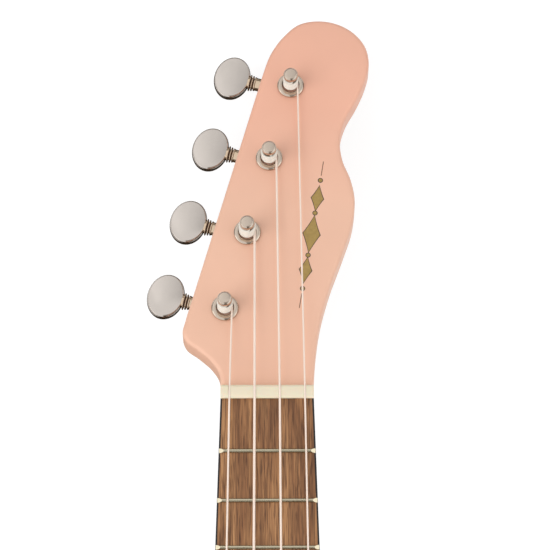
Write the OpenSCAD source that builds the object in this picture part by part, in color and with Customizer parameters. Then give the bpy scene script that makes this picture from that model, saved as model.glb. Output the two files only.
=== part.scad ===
// Soprano ukulele with four geared tuners, lying on its back.
// X points to the treble side, Y from the bridge to the headstock, Z up from the back plate.
// The origin is on the back plate's outer face, on the centre line, under the saddle.

/* [Strings] */
// Open string length from the nut to the saddle
scale_length = 345.4; // [335:0.2:355]
// Distance between the outer strings at the nut
nut_span = 28; // [26:0.2:29]
// Distance between the outer strings at the saddle
saddle_span = 40; // [37:0.5:43]
// Diameter of the g string
g_string_d = 0.7; // [0.6:0.01:0.8]
// Diameter of the c string
c_string_d = 0.94; // [0.8:0.01:0.96]
// Diameter of the e string
e_string_d = 0.82; // [0.7:0.01:0.9]
// Diameter of the a string
a_string_d = 0.66; // [0.6:0.01:0.8]
// Height of the strings over the fingerboard at the nut
nut_action = 1.4; // [1.2:0.1:1.8]
// Height of the strings over the soundboard at the saddle
saddle_rise = 10; // [9.5:0.1:11]
// Clear space between two turns of a string on its post
turn_gap = 0.5; // [0.45:0.01:0.6]

/* [Fingerboard] */
// Width at the nut
nut_width = 34.6; // [33:0.2:37]
// Width where the neck meets the body
joint_width = 46.8; // [44:0.2:49]
// Thickness of the board
board_t = 4.5; // [3.5:0.1:6]
// Length of the board past its last fret
board_tail = 6; // [4:0.5:9]
// Number of frets
fret_count = 16; // [13:1:16]
// Width of a fret crown
fret_w = 1.7; // [1.4:0.05:2.2]
// Height of a fret crown
fret_h = 0.8; // [0.6:0.05:0.9]
// Thickness of the edge bindings
binding_t = 0.65; // [0.5:0.05:1.4]
// Diameter of the position dots
dot_d = 5; // [3:0.5:7]
// Thickness of the nut along the neck
nut_t = 5.1; // [4:0.1:6]

/* [Neck] */
// Wood under the board at the first fret
neck_depth = 13; // [12:0.5:16]
// Wood under the board ahead of the heel
shoulder_depth = 15.5; // [14:0.5:18]
// Length of the heel's foot along the body
heel_foot = 12; // [9:0.5:16]
// Length of the heel's curve
heel_curve = 34; // [26:1:46]
// Diameter of the neck dowels
dowel_d = 8; // [6:0.5:10]
// Length of the neck dowels inside the box
dowel_in = 18; // [12:1:21]

/* [Headstock] */
// Angle of the headstock behind the fingerboard
head_angle = 15; // [12:0.5:16]
// Thickness of the headstock
head_t = 11.5; // [10:0.25:14]
// Length of the headstock's face from the nut
head_len = 152.6; // [148:0.2:160]
// Lean of the straight tuner edge from the centre line
edge_angle = 15.8; // [15.4:0.1:16.2]

/* [Tuners] */
// Distance between posts along their row
post_pitch = 32.05; // [31:0.05:33]
// Distance of the first post from the nut along the face
first_post = 31.1; // [30:0.1:33]
// Lean of the row of posts from the centre line
row_angle = 15.1; // [14.6:0.1:15.6]
// Distance of the first post from the tuner edge
post_inset = 13.1; // [12.4:0.1:13.8]
// Height of the posts over the face
post_rise = 10.8; // [10.8:0.1:13]
// Diameter of the posts in their bushings
post_d = 6; // [5.5:0.1:6.4]
// Diameter of the waist that takes the string
waist_d = 4.4; // [4.2:0.1:4.8]
// Diameter of the bushing's flange
flange_d = 10.4; // [9.6:0.1:12]
// Thickness of the bushing's flange
flange_t = 1.3; // [1:0.1:1.8]
// Outer diameter of the bushing's sleeve
sleeve_d = 8; // [7.6:0.1:8.6]
// Length of the bushing's sleeve
sleeve_len = 8; // [5:0.5:9.5]
// Teeth on the gear
gear_teeth = 13; // [13:1:14]
// Advance of the worm thread in one turn
worm_lead = 1.5; // [1.45:0.01:1.55]
// Thickness of the gear
gear_t = 2.6; // [2.2:0.1:3]
// Depth of the worm's axis under the base plate
worm_drop = 4.1; // [3.9:0.1:4.6]
// Thickness of the base plate and its ears
plate_t = 1; // [0.8:0.1:1.4]
// Diameter of the worm shaft
shaft_d = 4; // [3.4:0.1:4.2]
// Diameter of the shaft's shoulder between the button and the base plate
shoulder_d = 5.1; // [4.4:0.1:5.6]
// Distance of the button's middle from the post
button_reach = 25.1; // [23:0.1:27]
// Length of the button along the tuner edge
button_len = 18.2; // [14:0.2:20]
// Width of the button along its shaft
button_w = 14.2; // [11:0.2:15]
// Thickness of the button
button_t = 3.5; // [3.2:0.1:5]

/* [Body] */
// Length of the body
body_len = 241; // [232:1:250]
// Width of the lower bout
lower_bout = 165; // [155:1:175]
// Width of the waist
waist = 98; // [92:1:106]
// Width of the upper bout
upper_bout = 118; // [112:1:126]
// Depth of the body
body_depth = 66; // [60:1:72]
// Thickness of the soundboard
top_t = 2.4; // [2:0.1:3]
// Thickness of the back plate
back_t = 2.4; // [2:0.1:3]
// Thickness of the sides
side_t = 2.2; // [1.6:0.1:3]
// Diameter of the soundhole
hole_d = 52; // [46:1:56]
// Distance of the soundhole's middle from the saddle
hole_y = 86; // [82:1:90]
// Width of the bridge across the strings
bridge_w = 74; // [66:1:84]
// Thickness of the saddle
saddle_t = 2.4; // [2:0.1:3]
// Length of the neck block along the body
neck_block_len = 24; // [20:1:30]
// Length of the tail block along the body
tail_block_len = 16; // [12:1:22]

/* [Hidden] */
$fn = 64;

// Clearances shared by pieces that meet
glue_gap = 0.02;
running_gap = 0.06;
cut_over = 1;

// Levels and stations on the body and neck
top_z = body_depth;
board_z = top_z + board_t;
joint_y = scale_length / 2;
tail_y = joint_y - body_len;
head_y = scale_length + nut_t;
board_end_y = fret_y(fret_count) - board_tail;

// Colours of the materials
paint = [0.95, 0.74, 0.65];
walnut = [0.45, 0.31, 0.2];
bare_wood = [0.85, 0.72, 0.52];
nickel = [0.78, 0.77, 0.75];
cream = [0.95, 0.91, 0.78];
white = [0.95, 0.93, 0.92];
black = [0.08, 0.08, 0.09];

// Smooth open curve through points, with chord lengths as its pace
function tangent(p, i) =
    let (n = len(p) - 1)
    i == 0 ? (p[1] - p[0]) / norm(p[1] - p[0]) :
    i == n ? (p[n] - p[n - 1]) / norm(p[n] - p[n - 1]) :
    let (a = norm(p[i] - p[i - 1]), b = norm(p[i + 1] - p[i]))
    ((p[i] - p[i - 1]) * b / a + (p[i + 1] - p[i]) * a / b) / (a + b);
function hermite(p0, p1, m0, m1, t) =
    (2 * pow(t, 3) - 3 * pow(t, 2) + 1) * p0 + (pow(t, 3) - 2 * pow(t, 2) + t) * m0
    + (3 * pow(t, 2) - 2 * pow(t, 3)) * p1 + (pow(t, 3) - pow(t, 2)) * m1;
function curve(p, steps) = [
    for (i = [0 : len(p) - 2])
        let (chord = norm(p[i + 1] - p[i]))
        for (j = [0 : steps - 1])
            hermite(p[i], p[i + 1], tangent(p, i) * chord, tangent(p, i + 1) * chord, j / steps),
    p[len(p) - 1]
];
function reversed(p) = [for (i = [len(p) - 1 : -1 : 0]) p[i]];
function mirrored(p) = [for (q = p) [-q[0], q[1]]];
function blend(a, b, t) = a + (b - a) * t;

// Body outline: its right half from the tail to the neck joint, moved inwards by a distance
half_lower = lower_bout / 2;
half_waist = waist / 2;
half_upper = upper_bout / 2;
half_joint = joint_width / 2 + 2;
lower_y = tail_y + 0.285 * body_len;
waist_y = tail_y + 0.635 * body_len;
upper_y = tail_y + 0.805 * body_len;
shoulder_end = acos(half_joint / half_upper);
shoulder_h = (joint_y - upper_y) / sin(shoulder_end);
function swing(from, to, t) = blend(from, to, (1 - cos(180 * t)) / 2);
tail_arc = [for (k = [0 : 14]) [half_lower * sin(6 * k), lower_y - (lower_y - tail_y) * cos(6 * k)]];
lower_flank = [for (k = [0 : 12]) [swing(half_lower, half_waist, k / 12), blend(lower_y, waist_y, k / 12)]];
upper_flank = [for (k = [1 : 8]) [swing(half_waist, half_upper, k / 8), blend(waist_y, upper_y, k / 8)]];
shoulder_arc = [
    for (k = [1 : 10])
        let (a = shoulder_end * k / 10)
        [half_upper * cos(a), upper_y + shoulder_h * sin(a)]
];
half_outline = concat(
    tail_arc,
    lower_flank,
    upper_flank,
    shoulder_arc,
    [[0, joint_y]]
);
function inward(p, i, d) =
    let (n = len(p) - 1)
    i == 0 ? p[0] + [0, d] :
    i >= n - 1 ? p[i] - [0, d] :
    let (t = p[i + 1] - p[i - 1])
    p[i] + d * [-t[1], t[0]] / norm(t);
function half_inset(d) = [for (i = [0 : len(half_outline) - 1]) inward(half_outline, i, d)];
function full_inset(d) = concat(half_inset(d), reversed(mirrored(half_inset(d))));

// Fingerboard width and fret places
function board_w(y) = nut_width + (joint_width - nut_width) * (scale_length - y) / (scale_length - joint_y);
function fret_y(n) = scale_length * pow(2, -n / 12);

// Strings in order from the bass edge: g, c, e, a
string_d = [g_string_d, c_string_d, e_string_d, a_string_d];
string_turns = [3.75, 2.75, 3.25, 3.75];
string_gap = 0.05;
function nut_x(i) = (i - 1.5) * nut_span / 3;
function saddle_x(i) = (i - 1.5) * saddle_span / 3;

// Headstock face: x across, s along the face from the nut
edge_foot = [-29.9, 29.5];
function edge_x(s) = edge_foot[0] + (s - edge_foot[1]) * tan(edge_angle);
crown_points = [
    [nut_width / 2, glue_gap],
    [nut_width / 2 + 0.6, 0.068 * head_len],
    [19.75, 0.161 * head_len],
    [23.5, 0.257 * head_len],
    [28.75, 0.355 * head_len],
    [32.6, 0.437 * head_len],
    [33.5, 0.502 * head_len],
    [32.1, 0.553 * head_len],
    [29, 0.608 * head_len],
    [28.1, 0.661 * head_len],
    [30.3, 0.721 * head_len],
    [34.4, 0.772 * head_len],
    [37.9, 0.825 * head_len],
    [39.7, 0.875 * head_len],
    [38.5, 0.924 * head_len],
    [34.5, 0.962 * head_len],
    [28, 0.99 * head_len],
    [20.3, head_len],
    [12.5, 0.99 * head_len],
    [6.7, 0.957 * head_len],
    [2.2, 0.915 * head_len],
    [edge_x(0.84 * head_len), 0.84 * head_len],
    [edge_x(0.794 * head_len), 0.794 * head_len]
];
horn_points = [
    [edge_x(34.7), 34.7],
    [edge_x(26.9), 26.9],
    [-31.7, 21.2],
    [-30.6, 18.4],
    [-25.6, 14.3],
    [-20.5, 9.5],
    [-nut_width / 2 - 0.7, 5.4],
    [-nut_width / 2, glue_gap]
];
head_outline = concat(curve(crown_points, 5), curve(horn_points, 5));

// Post places on the face
function post_s(i) = first_post + i * post_pitch * cos(row_angle);
function post_x(i) = edge_x(first_post) + post_inset / cos(edge_angle) + i * post_pitch * sin(row_angle);

// Levels on a tuner, measured from the headstock's face
plate_z = -head_t - plate_t;
worm_z = plate_z - worm_drop;
gear_top = worm_z + gear_t / 2;
gear_low = worm_z - gear_t / 2;
waist_low = -2.4;
waist_top = post_rise - 2.2;
neck_r = 2.2;
spigot = 2.5;

// Gear and worm proportions
tooth_add = 0.4;
tooth_ded = 0.7;
gear_pitch_r = gear_teeth * worm_lead / (2 * PI);
gear_tip_r = gear_pitch_r + tooth_add;
gear_root_r = gear_pitch_r - tooth_ded;
worm_pitch_r = 1.8;
worm_tip_r = worm_pitch_r + tooth_add;
worm_root_r = worm_pitch_r - 0.65;
centre_gap = gear_pitch_r + worm_pitch_r;
worm_turns = 4;
worm_steps = 16;
worm_tip_half = 0.12;
worm_root_half = 0.5;
worm_plain = 0.6;
worm_half_len = worm_lead * worm_turns / 2 + worm_root_half + worm_plain;
ear_in = worm_half_len + 0.25;
ear_half = 2.9;
journal_r = 1.1;
collar_x = -button_reach + button_w / 2;
collar_len = 2.5;
plate_half = 7;
plate_back = 6.8;
plate_front = centre_gap + ear_half + 0.7;
tuner_screw_x = 4.9;
tuner_screw_y = -4.2;
tuner_screw_r = 0.9;
tuner_screw_len = 8;
gear_screw_r = 0.8;
gear_screw_len = 5;

// Frames of the headstock and of each tuner
module head_frame() {
    translate([0, head_y, top_z]) rotate([-head_angle, 0, 0]) children();
}
module tuner_frame(i) {
    head_frame() translate([post_x(i), post_s(i), 0]) rotate([0, 0, -row_angle]) children();
}
function head_to_world(q) = [
    q[0],
    head_y + q[1] * cos(head_angle) + q[2] * sin(head_angle),
    top_z - q[1] * sin(head_angle) + q[2] * cos(head_angle)
];
function world_to_head(q) =
    let (dy = q[1] - head_y, dz = q[2] - top_z)
    [q[0], dy * cos(head_angle) - dz * sin(head_angle), dy * sin(head_angle) + dz * cos(head_angle)];

// String route: places along it in order, from the knot behind the bridge to the tail in the post
bridge_rear = 14;
bridge_front = 6;
bridge_h = 7;
trough_z = 3.5;
trough_rear = 8.5;
saddle_wall = 3;
string_hole_z = 5;
string_hole_r = 0.9;
nut_land = 1.2;
last_climb = 2.2;
function string_r(i) = string_d[i] / 2;
function wound_r(i) = waist_d / 2 + 2 * string_gap + string_r(i);
function turn_pitch(i) = string_d[i] + turn_gap;
function nut_point(i) = [nut_x(i), scale_length + nut_land, board_z + nut_action + string_r(i)];
function first_h(i) = flange_t + string_r(i) + 0.25;
function leave_angle(i) =
    let (n = world_to_head(nut_point(i)), d = [n[0] - post_x(i), n[1] - post_s(i)])
    atan2(d[1], d[0]) + acos(wound_r(i) / norm(d));
function climb(i, t) = first_h(i) + turn_pitch(i) * (t + max(0, t - string_turns[i] + 1) * (last_climb - 1));
function end_h(i) = climb(i, string_turns[i]);
function bend_r(i) = string_r(i) + 0.15;
function bend_turn(i) = acos(-bend_r(i) / (wound_r(i) - bend_r(i)));
function end_angle(i) = leave_angle(i) + 360 * string_turns[i];
function bend_place(i, turn) =
    let (c = wound_r(i) - bend_r(i))
    [c + bend_r(i) * cos(turn), bend_r(i) * sin(turn)];
function hole_angle(i) =
    let (q = bend_place(i, bend_turn(i)))
    end_angle(i) + atan2(q[1], q[0]);
function on_post(i, r, angle, h) =
    head_to_world([post_x(i) + r * cos(angle), post_s(i) + r * sin(angle), h]);
ring_steps = 24;
bend_steps = 5;
tail_len = 1;
function bridge_route(i) =
    let (x = saddle_x(i), hole_z = top_z + string_hole_z, crest = top_z + saddle_rise + string_r(i))
    [
        [x, -bridge_rear - 2.6, hole_z],
        [x, -bridge_rear - 2.3, hole_z],
        [x, -bridge_rear - 1.5, hole_z],
        [x, -bridge_rear - 0.7, hole_z],
        [x, -bridge_rear - 0.3, hole_z],
        [x, -bridge_rear + 1, hole_z],
        [x, -trough_rear + 0.2, hole_z],
        [x, -0.6, crest],
        [x, 0.6, crest]
    ];
function bridge_radii(i) = [for (r = [0.5, 1, 1.25, 1, 0]) max(r, string_r(i))];
function neck_route(i) = [nut_point(i) - [0, nut_land, 0], nut_point(i)];
function winding(i) = [
    for (k = [0 : round(ring_steps * string_turns[i])])
        let (t = k / ring_steps)
        on_post(i, wound_r(i), leave_angle(i) + 360 * t, climb(i, t))
];
function tail(i) = concat(
    [
        for (k = [1 : bend_steps])
            let (q = bend_place(i, bend_turn(i) * k / bend_steps))
            on_post(i, norm(q), end_angle(i) + atan2(q[1], q[0]), end_h(i))
    ],
    [on_post(i, waist_d / 2 + tail_len, hole_angle(i) + 180, end_h(i))]
);
function string_route(i) = concat(bridge_route(i), neck_route(i), winding(i), tail(i));
function string_radii(i) =
    let (n = len(string_route(i)), k = bridge_radii(i))
    [for (j = [0 : n - 1]) j < len(k) ? k[j] : string_r(i)];

// Least clear space between the parts of one string that lie more than one turn's reach apart
function least_gap(i) =
    let (w = concat(winding(i), tail(i)), n = len(w), apart = 8)
    min([for (a = [0 : n - 1 - apart]) for (b = [a + apart : n - 1]) norm(w[a] - w[b])]) - string_d[i];

// Tube along a route, with frames carried from ring to ring without twist
function unit(v) = v / norm(v);
function flat_part(v, t) = unit(v - (v * t) * t);
function headings(p) =
    let (n = len(p) - 1)
    [
        for (i = [0 : n])
            i == 0 ? unit(p[1] - p[0]) :
            i == n ? unit(p[n] - p[n - 1]) :
            unit(unit(p[i + 1] - p[i]) + unit(p[i] - p[i - 1]))
    ];
function carried(t, i, f) = i == len(t) ? f : carried(t, i + 1, concat(f, [flat_part(f[i - 1], t[i])]));
function frames(t) = carried(t, 1, [flat_part([0.12, 0, 1], t[0])]);
module tube(p, radii, sides) {
    t = headings(p);
    f = frames(t);
    last = len(p) - 1;
    points = [
        for (i = [0 : last]) for (k = [0 : sides - 1])
            let (a = 360 * k / sides, side = cross(t[i], f[i]))
            p[i] + radii[i] * (cos(a) * f[i] + sin(a) * side)
    ];
    walls = [
        for (i = [0 : last - 1]) for (k = [0 : sides - 1])
            let (a = i * sides + k, b = i * sides + (k + 1) % sides)
            each [[a, a + sides, b + sides], [a, b + sides, b]]
    ];
    start = [for (k = [1 : sides - 2]) [0, k, k + 1]];
    end = [for (k = [1 : sides - 2]) [last * sides, last * sides + k + 1, last * sides + k]];
    polyhedron(points, concat(walls, start, end), convexity = 10);
}

// Closed skin over rings of points that all have the same count
module skin(rings) {
    n = len(rings[0]);
    last = len(rings) - 1;
    points = [for (r = rings) each r];
    walls = [
        for (i = [0 : last - 1]) for (k = [0 : n - 1])
            let (a = i * n + k, b = i * n + (k + 1) % n)
            each [[a, b + n, b], [a, a + n, b + n]]
    ];
    start = [for (k = [1 : n - 2]) [0, k, k + 1]];
    end = [for (k = [1 : n - 2]) [last * n, last * n + k + 1, last * n + k]];
    polyhedron(points, concat(walls, start, end), convexity = 6);
}

// Body box
module body_prism(inset, low, high) {
    translate([0, 0, low]) linear_extrude(high - low) polygon(full_inset(inset));
}
rosette_in = hole_d / 2 + 3;
rosette_out = rosette_in + 4;
rosette_t = 0.8;
module soundboard() {
    color(paint) difference() {
        body_prism(0, top_z - top_t, top_z);
        translate([0, hole_y, top_z - top_t - cut_over]) cylinder(d = hole_d, h = top_t + 2 * cut_over);
        translate([0, hole_y, top_z - rosette_t - glue_gap])
            ring(rosette_in - 2 * glue_gap, rosette_out + 2 * glue_gap, rosette_t + cut_over);
    }
}
module ring(inner, outer, height) {
    linear_extrude(height) difference() {
        circle(r = outer);
        circle(r = inner);
    }
}
module rosette() {
    color(black) translate([0, hole_y, top_z - rosette_t]) ring(rosette_in, rosette_out, rosette_t);
}
module back_plate() {
    color(paint) body_prism(0, 0, back_t);
}
dowel_z = [0.45 * body_depth, 0.68 * body_depth];
dowel_out = heel_foot;
module dowel_pair(gap) {
    for (z = dowel_z) {
        translate([0, joint_y + dowel_out + gap, z]) rotate([90, 0, 0])
            cylinder(d = dowel_d + 2 * gap, h = dowel_out + dowel_in + 2 * gap);
    }
}
module dowel_holes() {
    dowel_pair(glue_gap);
}
module right_side() {
    difference() {
        translate([0, 0, back_t]) linear_extrude(body_depth - top_t - back_t)
            polygon(concat(half_inset(0), reversed(half_inset(side_t))));
        dowel_holes();
    }
}
module side_right() {
    color(paint) right_side();
}
module side_left() {
    color(paint) mirror([1, 0, 0]) right_side();
}

// Inside the box
block_half = joint_width / 2 + 1;
module end_block(low_y, high_y) {
    intersection() {
        body_prism(side_t + glue_gap, back_t, top_z - top_t);
        translate([-block_half, low_y, 0]) cube([2 * block_half, high_y - low_y, body_depth]);
    }
}
module neck_block() {
    color(bare_wood) difference() {
        end_block(joint_y - side_t - neck_block_len, joint_y);
        dowel_holes();
    }
}
module tail_block() {
    color(bare_wood) end_block(tail_y, tail_y + side_t + tail_block_len);
}
lining_w = 5;
lining_h = 6;
module linings(low) {
    inner = reversed(half_inset(side_t + lining_w));
    difference() {
        for (flip = [0, 1]) {
            mirror([flip, 0, 0]) translate([0, 0, low]) linear_extrude(lining_h)
                polygon(concat(half_inset(side_t + glue_gap), inner));
        }
        translate([-block_half - glue_gap, tail_y, 0])
            cube([2 * (block_half + glue_gap), body_len / 4, body_depth]);
        translate([-block_half - glue_gap, joint_y - body_len / 4, 0])
            cube([2 * (block_half + glue_gap), body_len / 4, body_depth]);
    }
}
module top_linings() {
    color(bare_wood) linings(top_z - top_t - lining_h);
}
module back_linings() {
    color(bare_wood) linings(back_t);
}
brace_w = 7;
top_brace_h = 10;
back_brace_h = 9;
brace_from_hole = 9;
upper_brace_y = hole_y + hole_d / 2 + brace_from_hole;
lower_brace_y = hole_y - hole_d / 2 - brace_from_hole;
back_brace_y = [0.3, 0.72];
module cross_brace(y, low, height) {
    intersection() {
        body_prism(side_t + lining_w + glue_gap, low, low + height);
        translate([-lower_bout, y - brace_w / 2, low]) cube([2 * lower_bout, brace_w, height]);
    }
}
module top_braces() {
    color(bare_wood) for (y = [lower_brace_y, upper_brace_y]) {
        cross_brace(y, top_z - top_t - top_brace_h, top_brace_h);
    }
}
module back_braces() {
    color(bare_wood) for (share = back_brace_y) {
        cross_brace(tail_y + share * body_len, back_t, back_brace_h);
    }
}
patch_t = 2;
patch_margin = 5;
module bridge_patch() {
    color(bare_wood) patch_box(0);
}
module patch_box(gap) {
    margin = patch_margin + gap;
    translate([-bridge_w / 2 - margin, -bridge_rear - margin, top_z - top_t - patch_t - gap])
        cube([bridge_w + 2 * margin, bridge_rear + bridge_front + 2 * margin, patch_t + gap]);
}
fan_w = 5;
fan_h = 6;
fan_spread = 34;
fan_lean = 9;
module fan_braces() {
    low_y = tail_y + side_t + tail_block_len + 4;
    high_y = lower_brace_y - brace_w / 2 - 2;
    color(bare_wood) difference() {
        for (k = [-1, 0, 1]) {
            translate([k * fan_spread, (low_y + high_y) / 2, top_z - top_t - fan_h])
                rotate([0, 0, k * fan_lean])
                translate([-fan_w / 2, -(high_y - low_y) / 2, 0])
                cube([fan_w, high_y - low_y, fan_h]);
        }
        patch_box(glue_gap);
    }
}

// Neck: rings of a rounded section, deepening into the heel and squaring off towards the headstock
neck_squareness = 9;
neck_blend = 34;
ring_points = 20;
function heel_depth(y) =
    let (t = (y - joint_y - heel_foot) / heel_curve, e = min(1, max(0, 1 - t)))
    1 - sqrt(max(0, 1 - pow(e, 2)));
function shaft_depth(y) = blend(shoulder_depth, neck_depth, (y - joint_y) / (head_y - joint_y));
function neck_section_depth(y) = blend(shaft_depth(y), body_depth - back_t, heel_depth(y));
function neck_ring(y, w, depth, power, lean) = [
    for (k = [0 : ring_points])
        let (
            a = 180 * k / ring_points,
            x = w / 2 * sign(cos(a)) * pow(abs(cos(a)), 2 / power),
            h = -depth * pow(sin(a), 2 / power)
        )
        [x, y + h * sin(lean), top_z + h * cos(lean)]
];
heel_stations = [for (k = [0 : 8]) joint_y + heel_foot + heel_curve * (1 - cos(90 * k / 8))];
shaft_end = head_y - neck_blend;
shaft_stations = [for (k = [1 : 4]) blend(joint_y + heel_foot + heel_curve, shaft_end, k / 4)];
neck_rings = concat(
    [
        for (y = concat([joint_y], heel_stations, shaft_stations))
            neck_ring(y, board_w(y), neck_section_depth(y), 2.2, 0)
    ],
    [
        for (k = [1 : 5])
            let (t = k / 5, y = shaft_end + neck_blend * t)
            neck_ring(
                y,
                board_w(min(y, scale_length)),
                blend(neck_section_depth(shaft_end), head_t, t),
                blend(2.2, neck_squareness, pow(t, 2)),
                head_angle * t
            )
    ]
);
module neck() {
    color(paint) difference() {
        skin(neck_rings);
        dowel_holes();
    }
}
module neck_dowels() {
    color(bare_wood) dowel_pair(0);
}
module headstock() {
    color(paint) difference() {
        head_frame() translate([0, 0, -head_t]) linear_extrude(head_t) polygon(head_outline);
        for (i = [0 : 3]) {
            tuner_frame(i) {
                translate([0, 0, -head_t - cut_over])
                    cylinder(d = sleeve_d + 2 * glue_gap, h = head_t + 2 * cut_over);
                for (x = [-tuner_screw_x, tuner_screw_x]) {
                    translate([x, tuner_screw_y, -head_t - cut_over])
                        cylinder(r = tuner_screw_r + glue_gap, h = tuner_screw_len + cut_over);
                }
            }
        }
    }
}

// Fingerboard
tang_w = 0.6;
tang_h = 1.8;
tang_gap = 0.05;
dot_t = 1.2;
dot_frets = [5, 7, 10, 12, 15];
function dot_y(n) = (fret_y(n) + fret_y(n - 1)) / 2;
function board_half(y, inset) = board_w(y) / 2 - inset;
module board_strip(inset_low, inset_high) {
    translate([0, 0, top_z]) linear_extrude(board_t) polygon([
        [board_half(board_end_y, inset_high), board_end_y],
        [board_half(board_end_y, inset_low), board_end_y],
        [board_half(scale_length, inset_low), scale_length],
        [board_half(scale_length, inset_high), scale_length]
    ]);
}
module fingerboard() {
    color(walnut) difference() {
        translate([0, 0, top_z]) linear_extrude(board_t) polygon([
            [-board_half(board_end_y, binding_t), board_end_y],
            [board_half(board_end_y, binding_t), board_end_y],
            [board_half(scale_length, binding_t), scale_length],
            [-board_half(scale_length, binding_t), scale_length]
        ]);
        for (n = [1 : fret_count]) {
            translate([-joint_width, fret_y(n) - tang_w / 2 - tang_gap, board_z - tang_h - tang_gap])
                cube([2 * joint_width, tang_w + 2 * tang_gap, board_t]);
        }
        for (n = dot_frets) {
            translate([0, dot_y(n), board_z - dot_t - glue_gap])
                cylinder(d = dot_d + 2 * glue_gap, h = board_t);
        }
    }
}
module binding_right() {
    color(black) board_strip(0, binding_t);
}
module binding_left() {
    color(black) mirror([1, 0, 0]) board_strip(0, binding_t);
}
crown_r = (pow(fret_w, 2) / 4 + pow(fret_h, 2)) / (2 * fret_h);
end_bevel = 1.7;
end_gap = 0.15;
module fret(half_len, tang_half) {
    intersection() {
        translate([0, 0, fret_h - crown_r]) rotate([0, 90, 0])
            cylinder(r = crown_r, h = 2 * half_len, center = true);
        rotate([90, 0, 0]) linear_extrude(2 * fret_w, center = true) polygon([
            [-half_len, 0],
            [half_len, 0],
            [half_len - end_bevel, fret_h + cut_over / 10],
            [-half_len + end_bevel, fret_h + cut_over / 10]
        ]);
    }
    translate([-tang_half, -tang_w / 2, -tang_h]) cube([2 * tang_half, tang_w, tang_h + fret_h / 2]);
}
module frets() {
    color(nickel) for (n = [1 : fret_count]) {
        translate([0, fret_y(n), board_z])
            fret(board_half(fret_y(n), end_gap), board_half(fret_y(n), binding_t + end_bevel));
    }
}
module fret_markers() {
    color(white) for (n = dot_frets) {
        translate([0, dot_y(n), board_z - dot_t]) cylinder(d = dot_d, h = dot_t);
    }
}

// Nut, bridge and saddle
nut_over = 0.35;
nut_fall = 1.6;
slot_gap = 0.3;
nut_h = board_t + nut_action + nut_over;
module along_x(width) {
    rotate([90, 0, 90]) linear_extrude(width, center = true) children();
}
module nut() {
    color(cream) difference() {
        translate([0, scale_length, top_z]) along_x(nut_width) polygon([
            [0, 0],
            [nut_t, 0],
            [nut_t, nut_h - nut_fall],
            [nut_t - 0.7, nut_h - nut_fall + 0.7],
            [nut_land, nut_h],
            [0.2, nut_h],
            [0, nut_h - 0.2]
        ]);
        for (i = [0 : 3]) {
            floor_z = board_t + nut_action - string_gap;
            away = winding(i)[0] - nut_point(i);
            fall = (nut_t + cut_over - nut_land) * (away[2] / away[1] - 0.04);
            translate([nut_x(i) + away[0] / away[1] * nut_t / 3, scale_length, top_z])
                along_x(string_d[i] + slot_gap) polygon([
                    [-cut_over, floor_z],
                    [nut_land, floor_z],
                    [nut_t + cut_over, floor_z + fall],
                    [nut_t + cut_over, nut_h + cut_over],
                    [-cut_over, nut_h + cut_over]
                ]);
        }
    }
}
saddle_foot = 3.2;
saddle_margin = 7;
saddle_len = saddle_span + 2 * saddle_margin;
module bridge() {
    color(walnut) difference() {
        translate([0, 0, top_z]) along_x(bridge_w) polygon([
            [-bridge_rear, 0],
            [bridge_front, 0],
            [bridge_front, trough_z],
            [saddle_wall + 1, bridge_h],
            [-saddle_wall, bridge_h],
            [-saddle_wall - 1, trough_z],
            [-trough_rear, trough_z],
            [-trough_rear - 0.5, bridge_h],
            [-bridge_rear + 1, bridge_h],
            [-bridge_rear, bridge_h - 1]
        ]);
        translate([-saddle_len / 2 - glue_gap, -saddle_t / 2 - glue_gap, top_z + saddle_foot - glue_gap])
            cube([saddle_len + 2 * glue_gap, saddle_t + 2 * glue_gap, bridge_h]);
        for (i = [0 : 3]) {
            translate([saddle_x(i), -trough_rear + cut_over, top_z + string_hole_z]) rotate([90, 0, 0])
                cylinder(r = string_hole_r, h = bridge_rear);
        }
    }
}
module saddle() {
    crest = saddle_rise - string_gap;
    color(cream) translate([0, 0, top_z]) along_x(saddle_len) union() {
        translate([-saddle_t / 2, saddle_foot]) square([saddle_t, crest - saddle_t / 2 - saddle_foot]);
        translate([0, crest - saddle_t / 2]) circle(d = saddle_t);
    }
}

// Strings
module instrument_string(i) {
    echo(least_gap = least_gap(i), string = i);
    color(white) tube(string_route(i), string_radii(i), 6);
}

// Tuner pieces
bush_bore = post_d / 2 + running_gap;
module bushing(i) {
    rim = 0.6;
    recess = bush_bore + 0.24;
    seat = -2.2;
    color(nickel) tuner_frame(i) rotate_extrude() polygon([
        [bush_bore, -sleeve_len],
        [sleeve_d / 2, -sleeve_len],
        [sleeve_d / 2, 0],
        [flange_d / 2, 0],
        [flange_d / 2, flange_t - rim],
        [flange_d / 2 - rim, flange_t],
        [recess, flange_t],
        [recess, seat],
        [bush_bore, seat]
    ]);
}
string_bore_gap = 0.3;
module post(i) {
    foot_r = post_d / 2;
    waist_r = waist_d / 2;
    tip_r = post_d / 2 - 0.15;
    edge = 0.4;
    round_r = 1.1;
    crown = [for (a = [0 : 22.5 : 90]) [
        tip_r - round_r + round_r * cos(a),
        post_rise - round_r + round_r * sin(a)
    ]];
    color(nickel) difference() {
        tuner_frame(i) union() {
            rotate_extrude() polygon(concat(
                [
                    [0, gear_top],
                    [neck_r, gear_top],
                    [neck_r, plate_z - 0.4],
                    [foot_r, plate_z - 0.4],
                    [foot_r, waist_low - 0.2],
                    [waist_r, waist_low],
                    [waist_r, waist_top],
                    [tip_r, waist_top + edge]
                ],
                crown,
                [[0, post_rise]]
            ));
            translate([-spigot / 2, -spigot / 2, gear_low + 0.1]) cube([spigot, spigot, gear_t]);
        }
        tuner_frame(i) translate([0, 0, gear_low - cut_over])
            cylinder(r = gear_screw_r + 0.03, h = gear_screw_len + cut_over + 0.3);
        head_frame() translate([post_x(i), post_s(i), end_h(i)]) rotate([0, 90, hole_angle(i)])
            cylinder(r = string_r(i) + string_bore_gap, h = post_d + 2 * cut_over, center = true);
    }
}
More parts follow.
